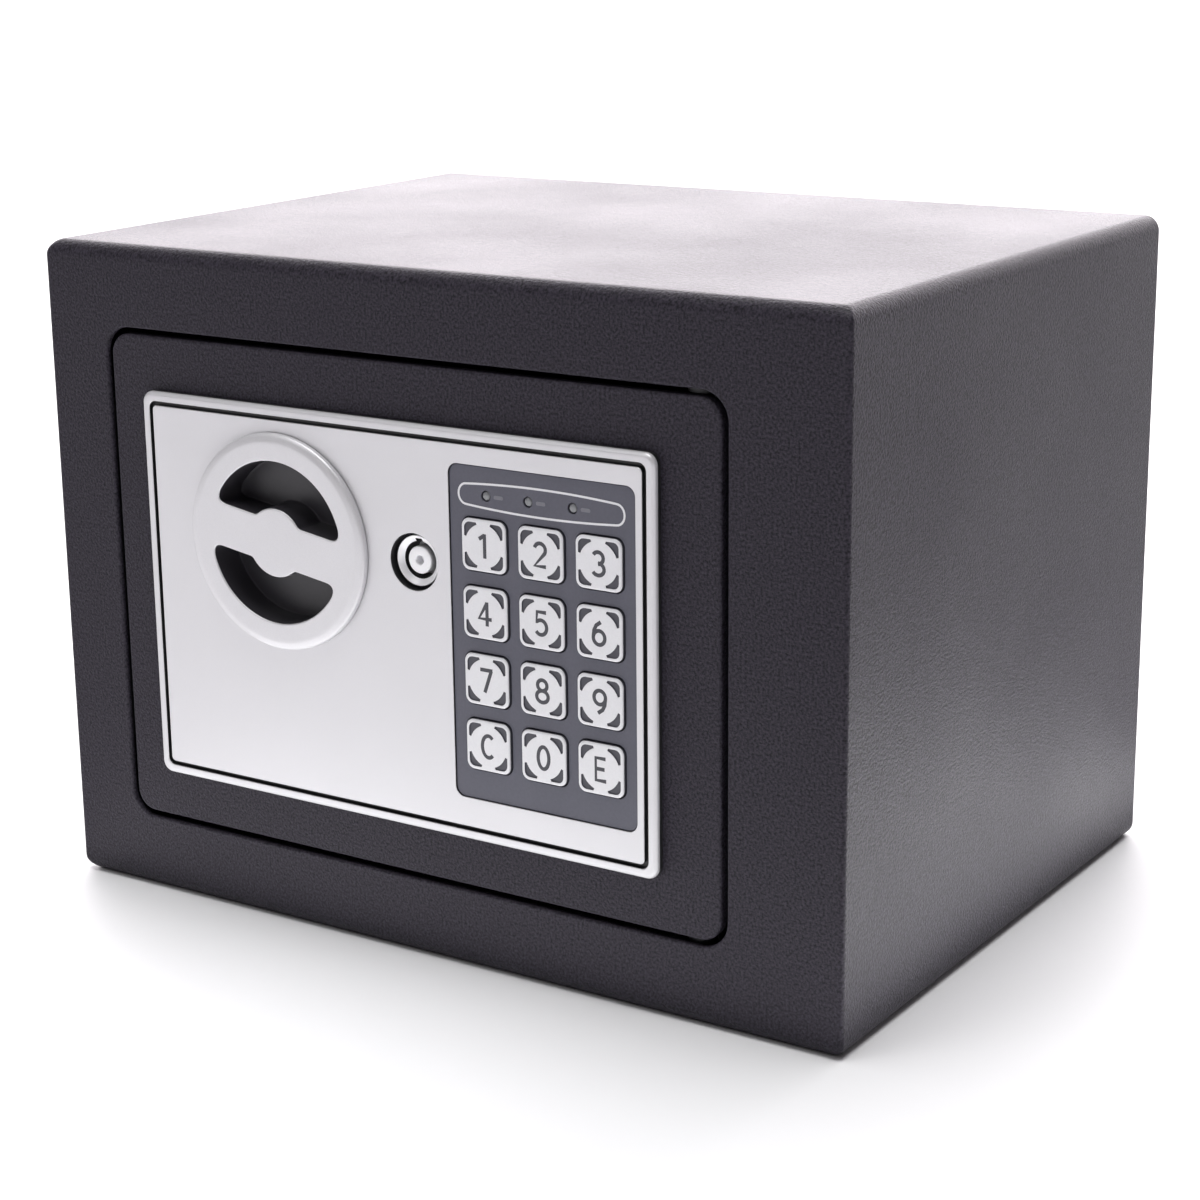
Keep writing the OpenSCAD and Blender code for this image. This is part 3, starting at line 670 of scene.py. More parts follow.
MAKERS = {
    "powder_coat": powder_coat,
    "inner_paint": inner_coat,
    "silver_paint": silver_paint,
    "black_plastic": black_plastic,
    "pad_grey": keypad_grey,
    "key_silver": key_silver,
    "print_ink": print_ink,
    "led_clear": lamp_clear,
    "chrome": lambda: polished("chrome", (0.72, 0.72, 0.74), 0.16),
    "lock_nickel": lambda: Finish("satin nickel", (0.92, 0.92, 0.94), 0.36, 0.2).material,
    "bare_steel": lambda: polished("bare steel", (0.56, 0.57, 0.6), 0.32, (1.0, 0.2, 1.0)),
    "yellow_zinc": yellow_zinc,
    "dark_steel": dark_steel,
    "felt": felt,
    "circuit_green": circuit_board,
    "copper": winding,
    "cell_blue": cell_sleeve,
    "rubber_grey": lambda: plain_plastic("silicone rubber", (0.06, 0.06, 0.07), 0.7),
    "pocket_black": lambda: plain_plastic("pocket black", (0.034, 0.032, 0.038), 0.38),
    "cable_grey": lambda: plain_plastic("cable grey", (0.42, 0.42, 0.44), 0.5),
    "mark_grey": lambda: plain_plastic("mark grey", (0.15, 0.15, 0.175), 0.5),
    "key_corner": lambda: plain_plastic("key corner", (0.06, 0.06, 0.075), 0.5),
    "red_button": lambda: plain_plastic("red button", (0.45, 0.012, 0.012), 0.3),
}
MADE = {}


def finish_of(slot):
    """The material of a slot, made once."""
    if slot not in MADE:
        MADE[slot] = MAKERS[slot]()
    return MADE[slot]


# ---- operators ----

def aimed(here, target):
    """Matrix of a camera or lamp that stands at a point and looks at another."""
    return Matrix.Translation(here) @ (target - here).to_track_quat("-Z", "Y").to_matrix().to_4x4()


class SAFE_OT_stage(bpy.types.Operator):
    """Floor, studio lights, world and camera"""
    bl_idname = "safe.stage"
    bl_label = "Stage"

    def execute(self, context):
        self.floor()
        self.camera(context)
        self.lights(context)
        self.surround(context)
        return {"FINISHED"}

    def floor(self):
        """Pale floor that runs out of sight."""
        f = Finish("pale floor", (0.86, 0.86, 0.87), 0.6)
        f.mottle(f.noise(3.0, 2.0), 0.995, 1.005)
        bm = bmesh.new()
        bmesh.ops.create_grid(bm, x_segments=2, y_segments=2, size=60.0)
        new_object("floor", mesh_of(bm, "floor"), [f.material])

    def camera(self, context):
        """Camera a little above the safe and to its right."""
        data = bpy.data.cameras.new("camera")
        data.sensor_width = 36.0
        data.lens = 79.27
        data.shift_x = 0.024
        data.shift_y = -0.0049
        data.clip_end = 200.0
        camera = bpy.data.objects.new("camera", data)
        here = Vector((0.36713, -0.56589, 0.25741))
        target = Vector((-0.00815, -0.00444, 0.07318))
        roll = radians(-0.821)
        camera.matrix_world = aimed(here, target) @ Matrix.Rotation(roll, 4, "Z")
        context.scene.collection.objects.link(camera)
        context.scene.camera = camera

    def lights(self, context):
        """Front softbox, overhead light, and strips on the floor that throw light up the walls."""
        self.lamp(context, "front softbox", "AREA", (-1.2, -2.0, 2.2), (0, -0.08, 0.08), 12.0, (1.2, 1.2))
        self.lamp(context, "overhead", "SUN", (0.0, 0.0, 1.0), (0, 0, 0), 3.1)
        right, front = (0.165, 0.02, 0.002), (0.0, -0.13, 0.002)
        self.lamp(context, "glow right", "AREA", right, (right[0], right[1], 1), 0.21, (0.08, 0.24))
        self.lamp(context, "glow front", "AREA", front, (front[0], front[1], 1), 0.085, (0.26, 0.08))

    def lamp(self, context, name, kind, start, target, energy, size=None):
        """Soft lamp aimed at a point: a panel of a width and a length, or a sun without a size."""
        data = bpy.data.lights.new(name, kind)
        data.energy = energy
        if size:
            data.shape = "RECTANGLE"
            data.size, data.size_y = size
        else:
            data.angle = radians(45)
        lamp = bpy.data.objects.new(name, data)
        lamp.matrix_world = aimed(Vector(start), Vector(target))
        lamp.visible_camera = False
        context.scene.collection.objects.link(lamp)

    def surround(self, context):
        """World that is bright behind the safe and dim in front of it."""
        world = bpy.data.worlds.new("studio")
        world.use_nodes = True
        tree = world.node_tree
        back = tree.nodes["Background"]
        back.inputs["Color"].default_value = (1.0, 0.945, 0.985, 1)
        heading = tree.nodes.new("ShaderNodeTexCoord")
        along = tree.nodes.new("ShaderNodeVectorMath")
        along.operation = "DOT_PRODUCT"
        along.inputs[1].default_value = (-0.5, 0.86, 0.0)
        tree.links.new(heading.outputs["Generated"], along.inputs[0])
        ramp = tree.nodes.new("ShaderNodeMapRange")
        ramp.interpolation_type = "SMOOTHSTEP"
        for label, number in (("From Min", 0.5), ("From Max", 0.95), ("To Min", 0.13), ("To Max", 5.9)):
            ramp.inputs[label].default_value = number
        tree.links.new(along.outputs["Value"], ramp.inputs["Value"])
        tree.links.new(ramp.outputs["Result"], back.inputs["Strength"])
        context.scene.world = world
        context.scene.view_settings.view_transform = "Standard"


class SAFE_OT_case(bpy.types.Operator):
    """Folded case shell with its door opening, and the welded back sheet"""
    bl_idname = "safe.case"
    bl_label = "Case"

    def execute(self, context):
        self.shell()
        self.back()
        return {"FINISHED"}

    def shell(self):
        """One folded sheet: top, sides, base and the front round the door opening."""
        s = sizes()
        size = CASE_HIGH - CASE_LOW
        steps, bends = 12, 6
        shell = Shell()
        opening = box_outline(DOOR_LOW, DOOR_HIGH, s.door_corner + s.door_gap, steps, s.door_gap)
        hole_front, hole_back = shell.wall(opening, hole_fillet(s.sheet_edge, 0) + [(0, s.sheet)])
        outline = rounded_rect(0, size.z / 2, size.x, size.z, s.case_round, steps)
        rings = [shell.ring(*self.rolled(outline, pi / 2 * k / bends)) for k in range(bends + 1)]
        for a, b in zip(rings, rings[1:]):
            shell.skirt(a, b)
        front_ring = shell.ring(self.rolled(outline, 0)[0], 0.0)
        shell.skirt(front_ring, rings[0])
        shell.cap(front_ring, [hole_front])
        edge = 0.25 * MM
        first, last = shell.wall(outline, [
            (0, size.y - edge), (-edge, size.y), (edge - s.sheet, size.y), (-s.sheet, size.y - edge),
            (-s.sheet, size.y / 2), (-s.sheet, s.sheet)])
        shell.skirt(rings[-1], first)
        shell.cap(last, [hole_back])
        obj = shell.made("case_shell_coated", "powder_coat")
        anchors = mount("base_anchors")["dims"]
        reach = anchors["spacing_x_mm"] * MM / 2
        cut_with(obj, [
            rod("anchor", (sx * reach, 0, -THROUGH), (sx * reach, 0, THROUGH), anchors["hole_r_mm"] * MM)
            for sx in (-1, 1)])
        settle(obj)
        place(obj, "case", "powder_coat", "case_shell")

    def rolled(self, outline, angle):
        """Points and depths of the front edge's roll: wide at the top and the bottom, tight at the sides."""
        s = sizes()
        share = 0.98
        points, depths = [], []
        for (x, z), (out_x, out_z) in zip(outline, grown(outline, 1.0)):
            n = Vector((out_x - x, out_z - z)).normalized()
            r = s.front_round + (s.case_round - s.front_round) * n.y ** 2 * share
            points.append((x - n.x * r * (1 - sin(angle)), z - n.y * r * (1 - sin(angle))))
            depths.append(r * (1 - cos(angle)))
        return points, depths

    def back(self):
        """Flat back sheet with its two anchor holes."""
        s = sizes()
        low, high, near, far = extent("back_panel")
        shell = Shell()
        front, back = shell.wall(box_outline(low, high, s.case_round - s.sheet), [(0, near), (0, far)])
        anchors = mount("back_anchors")
        reach = anchors["dims"]["spacing_x_mm"] * MM / 2
        radius = anchors["dims"]["hole_r_mm"] * MM
        edge = 0.3 * MM
        holes = [circle(sx * reach, anchors["pos_m"][2], radius, 48) for sx in (-1, 1)]
        fronts, backs = shell.walls(holes, [(0, near), (0, far - edge), (edge, far)])
        shell.cap(front, fronts)
        shell.cap(back, backs)
        obj = shell.made("back_sheet_coated", "powder_coat")
        settle(obj)
        place(obj, "case", "powder_coat", "back_panel")


class SAFE_OT_mat(bpy.types.Operator):
    """Felt mat on the floor of the safe"""
    bl_idname = "safe.mat"
    bl_label = "Floor mat"

    def execute(self, context):
        low, high = low_high("floor_mat")
        obj = new_object("felt_mat", self.sheet(low, high), [finish_of("felt")])
        reach, radius = 60 * MM, 8 * MM
        cut_with(obj, [
            rod("hole", (sx * reach, 0, -THROUGH), (sx * reach, 0, 2 * THROUGH), radius) for sx in (-1, 1)])
        settle(obj, 50)
        place(obj, "case", "felt", "floor_mat")
        return {"FINISHED"}

    def sheet(self, low, high):
        """Closed thin slab whose upper side and edges are a little uneven."""
        bm = bmesh.new()
        nx, ny = 74, 54
        corner, dip, thinned = 3 * MM, 0.25 * MM, 0.3 * MM
        grid = {}
        for side in (0, 1):
            for i in range(nx + 1):
                for j in range(ny + 1):
                    x = low.x + (high.x - low.x) * (i / nx)
                    y = low.y + (high.y - low.y) * (j / ny)
                    x, y = self.pulled(x, y, low, high, corner)
                    rise = 0.5 + 0.5 * sin(61 * x + 1.3) * cos(47 * y - 0.4)
                    thin = thinned if min(i, nx - i, j, ny - j) == 0 else 0.0
                    z = low.z + thin if side == 0 else high.z - dip * rise - thin
                    grid[side, i, j] = bm.verts.new((x, y, z))
        for side in (0, 1):
            for i in range(nx):
                for j in range(ny):
                    square = ((i, j), (i + 1, j), (i + 1, j + 1), (i, j + 1))
                    bm.faces.new([grid[side, a, b] for a, b in square])
        rim = [(i, 0) for i in range(nx)] + [(nx, j) for j in range(ny)]
        rim += [(i, ny) for i in range(nx, 0, -1)] + [(0, j) for j in range(ny, 0, -1)]
        for (a, b), (c, d) in zip(rim, rim[1:] + rim[:1]):
            bm.faces.new((grid[0, a, b], grid[0, c, d], grid[1, c, d], grid[1, a, b]))
        bmesh.ops.recalc_face_normals(bm, faces=bm.faces)
        return mesh_of(bm, "felt_mat")

    def pulled(self, x, y, low, high, corner):
        """Point of the mat's grid, drawn in where a corner is round."""
        mx, my = (low.x + high.x) / 2, (low.y + high.y) / 2
        ex = max(0.0, abs(x - mx) - ((high.x - low.x) / 2 - corner)) / corner
        ey = max(0.0, abs(y - my) - ((high.y - low.y) / 2 - corner)) / corner
        over = (ex * ex + ey * ey) ** 0.5
        if over > 1:
            x -= (1 if x > mx else -1) * corner * ex * (1 - 1 / over)
            y -= (1 if y > my else -1) * corner * ey * (1 - 1 / over)
        return x, y


class SAFE_OT_door(bpy.types.Operator):
    """Door plate with its cut-outs"""
    bl_idname = "safe.door"
    bl_label = "Door plate"

    def execute(self, context):
        s = sizes()
        thick = DOOR_HIGH.y - FRONT
        edge = 0.3 * MM
        shell = Shell()
        outline = box_outline(DOOR_LOW, DOOR_HIGH, s.door_corner, 12)
        front, back = shell.wall(outline, fillet(s.sheet_edge, 0) + [(0, thick - edge), (-edge, thick)])
        knob, lock = joint("knob_turn")["pos_m"], joint("override_turn")["pos_m"]
        holes = [
            circle(knob[0], knob[2], 25 * MM),
            circle(lock[0], lock[2], LOCK_BODY + 0.05 * MM, 48),
            box_outline(*low_high("keypad_surround"), 3 * MM, margin=0.5 * MM),
        ]
        holes += [circle(x, z, 3.3 * MM, 24) for x, z in corners_of("bezel_screws", PANEL_SCREW)]
        fronts, backs = shell.walls(holes, [(0, 0), (0, thick)])
        shell.cap(front, fronts)
        shell.cap(back, backs)
        obj = shell.made("door_plate_coated", "powder_coat")
        settle(obj)
        place(obj, "door", "powder_coat", "door_plate")
        return {"FINISHED"}


def corners_of(node, radius):
    """Places (x, z) of the four like screws of a node, whose heads have a radius."""
    low, high = low_high(node)
    return [(x, z) for x in (low.x + radius, high.x - radius) for z in (low.z + radius, high.z - radius)]


class SAFE_OT_panel(bpy.types.Operator):
    """Moulded front panel, silver in front, with black as painted shade in its groove, on its hole walls and
    on the back band of its edges
    """
    bl_idname = "safe.panel"
    bl_label = "Front panel"

    def execute(self, context):
        s = sizes()
        low, high, face, _ = extent("panel_bezel")
        # Black is painted shade on the groove, the hole walls and the back band of the outer edge; on the
        # back and the bosses it is plain black plastic.
        silver, black = 0, 1
        lip, draft = 0.18 * MM, 0.02 * MM
        shell = Shell()
        # Behind its rounded front the outer edge is black: painted shade.
        edge = fillet(1.1 * MM, face, 1, 6) + [(0, face + 1.4 * MM), (0, 0)]
        front, back = shell.wall(box_outline(low, high, 3 * MM, 10), edge, [silver] * 7 + [black])
        outer = box_outline(low, high, 2 * MM, 10, -s.rim)
        inner = box_outline(low, high, 1.2 * MM, 10, -(s.rim + s.groove))
        depth = face + 1.3 * MM
        # The groove's walls and floor are black: painted shade.
        rim, floor_out = shell.wall(outer, [(lip, face), (0, face + lip), (-draft, depth)], [silver, black])
        field, floor_in = shell.wall(inner, [(-lip, face), (0, face + lip), (draft, depth)], [silver, black])
        shell.skirt(floor_out, floor_in, black)
        shell.cap(front, [rim], silver)
        fronts, backs = zip(*self.openings(shell, face, lip))
        shell.cap(field, fronts, silver)
        shell.cap(back, [*backs, *self.bosses(shell, black)], black)
        obj = shell.made("front_panel_painted", "silver_paint", "black_plastic")
        settle(obj)
        place(obj, "door", "silver_paint", "panel_bezel")
        return {"FINISHED"}

    def openings(self, shell, face, lip):
        """The knob's stepped hole, the lock's hole and the keypad's seat, each as first and last ring."""
        knob, lock = joint("knob_turn")["pos_m"], joint("override_turn")["pos_m"]
        pad_low, pad_high, _, seat = extent("keypad_surround")
        step, shelf = 1.7 * MM, 3 * MM
        ledge, root, relief = 1.5 * MM, 6.4 * MM, 0.2 * MM
        return [
            self.hole(shell, circle(knob[0], knob[2], KNOB_WELL), face, lip, [
                (0, shelf), (step, shelf), (step, 0)]),
            self.hole(shell, circle(lock[0], lock[2], LOCK_HOLE, 48), face, lip, [(0, 0)]),
            self.hole(shell, box_outline(pad_low, pad_high, 2.5 * MM, margin=0.05 * MM), face, lip, [
                (0, seat), (-ledge, seat), (-ledge, root), (relief, root), (relief, 0)]),
        ]

    def hole(self, shell, outline, face, lip, profile):
        """Hole with a small rounded lip in silver, and walls in black as painted shade."""
        rounding = [(lip, face), (lip * 0.3, face + lip * 0.3), (0, face + lip)]
        return shell.wall(outline, rounding + profile, [0, 0, 1])

    def bosses(self, shell, material):
        """Four bored bosses behind the panel; gives the rings of their roots."""
        length, radius, bore, depth = 2.9 * MM, 3 * MM, 1.25 * MM, -1 * MM
        roots = []
        for x, z in corners_of("bezel_screws", PANEL_SCREW):
            root, end = shell.wall(circle(x, z, radius, 24), [(0, 0), (0, length)], material)
            mouth, bottom = shell.wall(circle(x, z, bore, 16), [(0, length), (0, depth)], material)
            shell.cap(end, [mouth], material)
            shell.cap(bottom, [], material)
            roots.append(root)
        return roots


class SAFE_OT_knob(bpy.types.Operator):
    """Turning knob: ring, bar and hub in silver round two black finger pockets"""
    bl_idname = "safe.knob"
    bl_label = "Knob"

    def execute(self, context):
        low, high, face, rear = extent("knob_grip")
        x, _, z = joint("knob_turn")["pos_m"]
        radius = (high.x - low.x) / 2
        silver, black = 0, 1
        shell = Shell()
        bevel = [(-2.6, 0), (-2.1, 0.03), (-1.7, 0.09), (-0.75, 0.36), (-0.3, 0.6), (-0.08, 0.9), (0, 1.3)]
        edge = [(offset * MM, face + depth * MM) for offset, depth in bevel]
        skirt_back = -2.8 * MM
        cup = radius - 22.5 * MM
        step = 0.5 * MM
        profile = edge + [(0, skirt_back), (-cup, skirt_back), (-cup, rear - step), (-cup - step, rear)]
        front, back = shell.wall(circle(x, z, radius, 96), profile, [silver] * len(edge) + [black])
        floor = rear - 1.8 * MM
        base = [(-0.1 * MM, floor - 0.7 * MM), (-0.3 * MM, floor - 0.2 * MM), (-0.8 * MM, floor)]
        pockets = [turned(self.pocket(x, z), x, z, pi * half - sizes().bar_tilt) for half in (0, 1)]
        mouths, bottoms = shell.walls(pockets, hole_fillet(0.45 * MM, face) + base, [silver] * 3 + [black])
        for bottom in bottoms:
            shell.cap(bottom, [], black)
        shell.cap(front, mouths, silver)
        bore, deep = shell.wall(circle(x, z, 3.02 * MM, 32), [(0, rear), (0, 0.2 * MM)], black)
        shell.cap(back, [bore], black)
        shell.cap(deep, [], black)
        obj = shell.made("knob_painted", "silver_paint", "pocket_black")
        settle(obj)
        place(obj, "knob", "silver_paint", "knob_grip")
        return {"FINISHED"}

    def pocket(self, x, z):
        """Crescent between the ring, the bar and the hub, above the bar."""
        outer, hub, half_bar = 20.3 * MM, 8.6 * MM, 5.5 * MM
        a, b = degrees(asin(half_bar / outer)), degrees(asin(half_bar / hub))
        around = arc(x, z, outer, a, 180 - a, 48)
        over = arc(x, z, hub, 180 - b, b, 20)
        rounded = soften(around + over, [0, len(around) - 1], 3.4 * MM, 8)
        return self.soften_hub(rounded, x, z, hub)

    def soften_hub(self, points, x, z, hub):
        """Small fillets where the hub meets the bar."""
        on_hub = [i for i, (px, pz) in enumerate(points) if abs(Vector((px - x, pz - z)).length - hub) < 1e-6]
        return soften(points, [on_hub[0], on_hub[-1]], 0.8 * MM)


class SAFE_OT_lock(bpy.types.Operator):
    """Override lock: plated barrel with its keyway, and the plug's post"""
    bl_idname = "safe.lock"
    bl_label = "Override lock"

    def execute(self, context):
        x, _, z = joint("override_turn")["pos_m"]
        self.barrel(x, z)
        self.plug(x, z)
        return {"FINISHED"}

    def barrel(self, x, z):
        """Barrel with a round head, a coned mouth and the notch of its keyway; the bore behind the mouth and
        the notch's faces are black as painted shade.
        """
        low, high, face, rear = extent("lock_barrel")
        # dark is the black put on the bore and the notch as painted shade of the keyway's gaps.
        plated, dark = 0, 1
        head = (high.x - low.x) / 2 - LOCK_BODY
        edge = 0.12 * MM
        shell = Shell()
        front, back = shell.wall(circle(x, z, LOCK_BODY, 72), [
            (head - edge, face), (head, face + edge), (head, 0), (0, 0), (0, rear)], plated)
        cone = [(1.37 * MM, face), (1.2 * MM, face + 0.08 * MM), (0.1 * MM, -0.08 * MM), (0, 0.06 * MM)]
        # The bore's wall behind the cone is black: painted shade in the gap round the plug's post.
        mouth, end = shell.wall(circle(x, z, LOCK_BORE, 72), cone + [(0, rear)], [plated] * 3 + [dark])
        shell.cap(front, [mouth])
        shell.cap(back, [end])
        obj = shell.made("lock_barrel_plated", "lock_nickel", "black_plastic")
        half, deep, wall = 0.95 * MM, 2.5 * MM, 0.35 * MM
        top = z + LOCK_BODY - wall
        notch = block("notch", (x - half, FRONT + face - MM, z), (x + half, FRONT + deep, top))
        # The notch's faces take the black: painted shade.
        for material in obj.data.materials:
            notch.data.materials.append(material)
        for polygon in notch.data.polygons:
            polygon.material_index = dark
        cut_with(obj, [notch])
        settle(obj)
        place(obj, "door", "chrome", "lock_barrel")

    def plug(self, x, z):
        """Plug with a hollow post in front, a core that fills the bore and a tail for the cam."""
        _, _, face, rear = extent("lock_plug")
        post, core, tail = 3.4 * MM, LOCK_BORE - 0.05 * MM, 3 * MM
        core_front, core_back = 5 * MM, 20 * MM
        shell = Shell()
        front, back = shell.wall(circle(x, z, post, 48), [
            (-0.4 * MM, face), (-0.12 * MM, face + 0.12 * MM), (0, face + 0.4 * MM),
            (0, core_front), (core - post, core_front),
            (core - post, core_back), (tail - post, core_back), (tail - post, rear)])
        lip = 0.2 * MM
        centre, bottom = shell.wall(circle(x, z, 1.1 * MM, 24), [(lip, face), (0, face + lip), (0, 2 * MM)])
        thread, deep = shell.wall(circle(x, z, 1.5 * MM, 24), [(0, rear), (0, 17 * MM)])
        for ring, holes in ((front, [centre]), (bottom, []), (back, [thread]), (deep, [])):
            shell.cap(ring, holes)
        obj = shell.made("lock_plug_plated", "lock_nickel")
        settle(obj)
        place(obj, "key_plug", "chrome", "lock_plug")


class SAFE_OT_keypad(bpy.types.Operator):
    """Keypad surround, its printed lamp window and the three lamp lenses"""
    bl_idname = "safe.keypad"
    bl_label = "Keypad surround"

    def execute(self, context):
        self.surround()
        self.window()
        self.lenses()
        return {"FINISHED"}

    def lamps(self):
        """Places (x, z) of the three lamps, left to right."""
        low, high = low_high("led_lenses")
        collar, second = 1.7 * MM, 11.7 * MM
        first, last = low.x + collar, high.x - collar
        z = (low.z + high.z) / 2
        return [(first, z), (first + second, z), (last, z)]

    def surround(self):
        """Grey plate with an opening for each key and lamp."""
        low, high, face, rear = extent("keypad_surround")
        shell = Shell()
        front, back = shell.wall(box_outline(low, high, 2.45 * MM), fillet(0.3 * MM, face) + [(0, rear)])
        places = [middle("key_" + name) for name in KEY_NAMES]
        keys = [rounded_rect(at.x, at.z, 13 * MM, 13 * MM, 2.3 * MM, 6) for at in places]
        lamps = [circle(x, z, 1.3 * MM, 24) for x, z in self.lamps()]
        key_fronts, key_backs = shell.walls(keys, hole_fillet(0.2 * MM, face, 3) + [(0, rear)])
        edge = 0.1 * MM
        lamp_fronts, lamp_backs = shell.walls(lamps, [(edge, face), (0, face + edge), (0, rear)])
        shell.cap(front, [*key_fronts, *lamp_fronts])
        shell.cap(back, [*key_backs, *lamp_backs])
        obj = shell.made("keypad_surround_grey", "pad_grey")
        settle(obj)
        place(obj, "door", "pad_grey", "keypad_surround")

    def barrel_outline(self, x, z, half, mid, end, steps=16):
        """Window shape: gently bowed above and below, with round ends; mid and end are its heights."""
        r = end / 2 - 0.3 * MM
        straight = half - r
        points = []
        for side in (1, -1):
            for i in range(steps + 1):
                u = 1 - 2 * i / steps
                bow = (mid - end) / 2 * (1 - u * u)
                points.append((x + side * u * straight, z + side * (end / 2 + bow)))
            for turn in range(105, 270, 15):
                t = radians(turn)
                points.append((x - side * straight + side * r * cos(t), z + side * (end / 2) * sin(t)))
        return points

    def window(self):
        """Printed line round the lamps, and a short mark beside each."""
        _, _, face, _ = extent("keypad_surround")
        line, rise = 0.5 * MM, 0.06 * MM
        centre = middle("keypad_surround").x - 0.1 * MM
        outline = self.barrel_outline(centre, self.lamps()[0][1], 23.0 * MM, 7.1 * MM, 5.4 * MM)
        shell = Shell()
        out_front, out_back = shell.wall(outline, [(0, face + rise), (0, face - rise)])
        in_front, in_back = shell.wall(outline, [(-line, face + rise), (-line, face - rise)])
        shell.skirt(out_front, in_front)
        shell.skirt(out_back, in_back)
        marks = [shell.made("window_line", "key_silver")]
        for x, z in self.lamps():
            bar = Shell()
            mark = rounded_rect(x + 3.6 * MM, z, 2.6 * MM, 0.9 * MM, 0.4 * MM, 4)
            front, back = bar.wall(mark, [(0, face - rise), (0, face + rise)])
            bar.cap(front)
            bar.cap(back)
            marks.append(bar.made("mark", "mark_grey"))
        obj = joined("lamp_window_print", marks)
        settle(obj)
        place(obj, "door", "key_silver")

    def lenses(self):
        """Three domed lenses with a collar behind."""
        _, _, face, rear = extent("led_lenses")
        dome = [(-1.0, 0), (-0.6, 0.08), (-0.25, 0.25), (-0.05, 0.55), (0, 0.9)]
        profile = [(offset * MM, face + depth * MM) for offset, depth in dome]
        collar, collar_front = 0.5 * MM, rear - 1 * MM
        profile += [(0, collar_front), (collar, collar_front), (collar, rear)]
        domes = []
        for x, z in self.lamps():
            shell = Shell()
            front, back = shell.wall(circle(x, z, 1.2 * MM, 24), profile)
            shell.cap(front)
            shell.cap(back)
            domes.append(shell.made("dome", "led_clear"))
        obj = joined("lamp_lenses_clear", domes)
        settle(obj, 60)
        place(obj, "door", "led_clear", "led_lenses")


class SAFE_OT_keys(bpy.types.Operator):
    """The twelve keys: silver ring and round face with dark corners and a printed sign"""
    bl_idname = "safe.keys"
    bl_label = "Keys"

    def execute(self, context):
        for name in KEY_NAMES:
            cap = self.cap("key_" + name)
            sign = self.sign(name.upper(), "key_" + name)
            obj = joined("key_" + name + "_cap", [cap, sign])
            settle(obj)
            place(obj, "keypad_key_" + name, "key_silver", "key_" + name)
        return {"FINISHED"}

    def cap(self, node):
        """Key cap with a flange behind and four dark corner patches sunk in its face."""
        low, high, face, rear = extent(node)
        x, z = (low.x + high.x) / 2, (low.z + high.z) / 2
        width, shoulder = 12.4 * MM, -0.4 * MM
        flange = (high.x - low.x - width) / 2
        silver, dark = 0, 1
        shell = Shell()
        profile = fillet(0.4 * MM, face) + [(0, shoulder), (flange, shoulder), (flange, rear)]
        front, back = shell.wall(rounded_rect(x, z, width, width, 2 * MM, 6), profile, [silver] * 4 + [dark])
        patches = [turned(self.corner(x, z), x, z, quarter * pi / 2) for quarter in range(4)]
        lip, draft, sunk = 0.08 * MM, 0.04 * MM, 0.35 * MM
        sides = [(lip, face), (0, face + lip), (-draft, face + sunk)]
        mouths, floors = shell.walls(patches, sides, [silver, dark])
        for floor in floors:
            shell.cap(floor, [], dark)
        shell.cap(front, mouths, silver)
        shell.cap(back, [], dark)
        return shell.made("cap", "key_silver", "key_corner")

    def corner(self, x, z):
        """Dark patch between the round face and one corner of the ring."""
        side, round_face, bend, gap = 5.4 * MM, 5.2 * MM, 1.4 * MM, 0.2 * MM
        start = 21
        reach = round_face * sin(radians(start)) + gap
        points = [(x + side, z + reach)]
        points += arc(x + side - bend, z + side - bend, bend, 0, 90, 4)
        points += [(x + reach, z + side)]
        points += arc(x, z, round_face, 90 - start, start, 8)
        return points

    def sign(self, letter, node):
        """Printed sign: round-ended strokes, almost flat on the key's face."""
        low, high = low_high(node)
        at = (low + high) / 2
        curve = bpy.data.curves.new("sign", "CURVE")
        curve.dimensions = "3D"
        curve.bevel_depth = 0.47 * MM
        curve.bevel_resolution = 2
        curve.use_fill_caps = True
        for points, closed in SIGNS[letter]:
            spline = curve.splines.new("POLY")
            spline.points.add(len(points) - 1)
            for point, (x, z) in zip(spline.points, points):
                point.co = (x * MM, z * MM, 0, 1)
            spline.use_cyclic_u = closed
        maker = bpy.data.objects.new("sign", curve)
        bpy.context.scene.collection.objects.link(maker)
        mesh = evaluated_mesh(maker)
        bpy.data.objects.remove(maker, do_unlink=True)
        stand = Matrix.Translation((at.x, low.y, at.z)) @ Matrix.Rotation(radians(90), 4, "X")
        flatness = 0.08
        mesh.transform(stand @ Matrix.Diagonal((1, 1, flatness, 1)))
        bm = bmesh.new()
        bm.from_mesh(mesh)
        bmesh.ops.remove_doubles(bm, verts=bm.verts, dist=1e-8)
        bmesh.ops.recalc_face_normals(bm, faces=bm.faces)
        bm.to_mesh(mesh)
        bm.free()
        return new_object("sign", mesh, [finish_of("print_ink")])


def oval(x, z, w, h, start=0, end=360, steps=28):
    """Part of an ellipse, in millimetres; angles in degrees."""
    turns = [radians(start + (end - start) * i / steps) for i in range(steps + 1)]
    return [(x + w * cos(t), z + h * sin(t)) for t in turns]


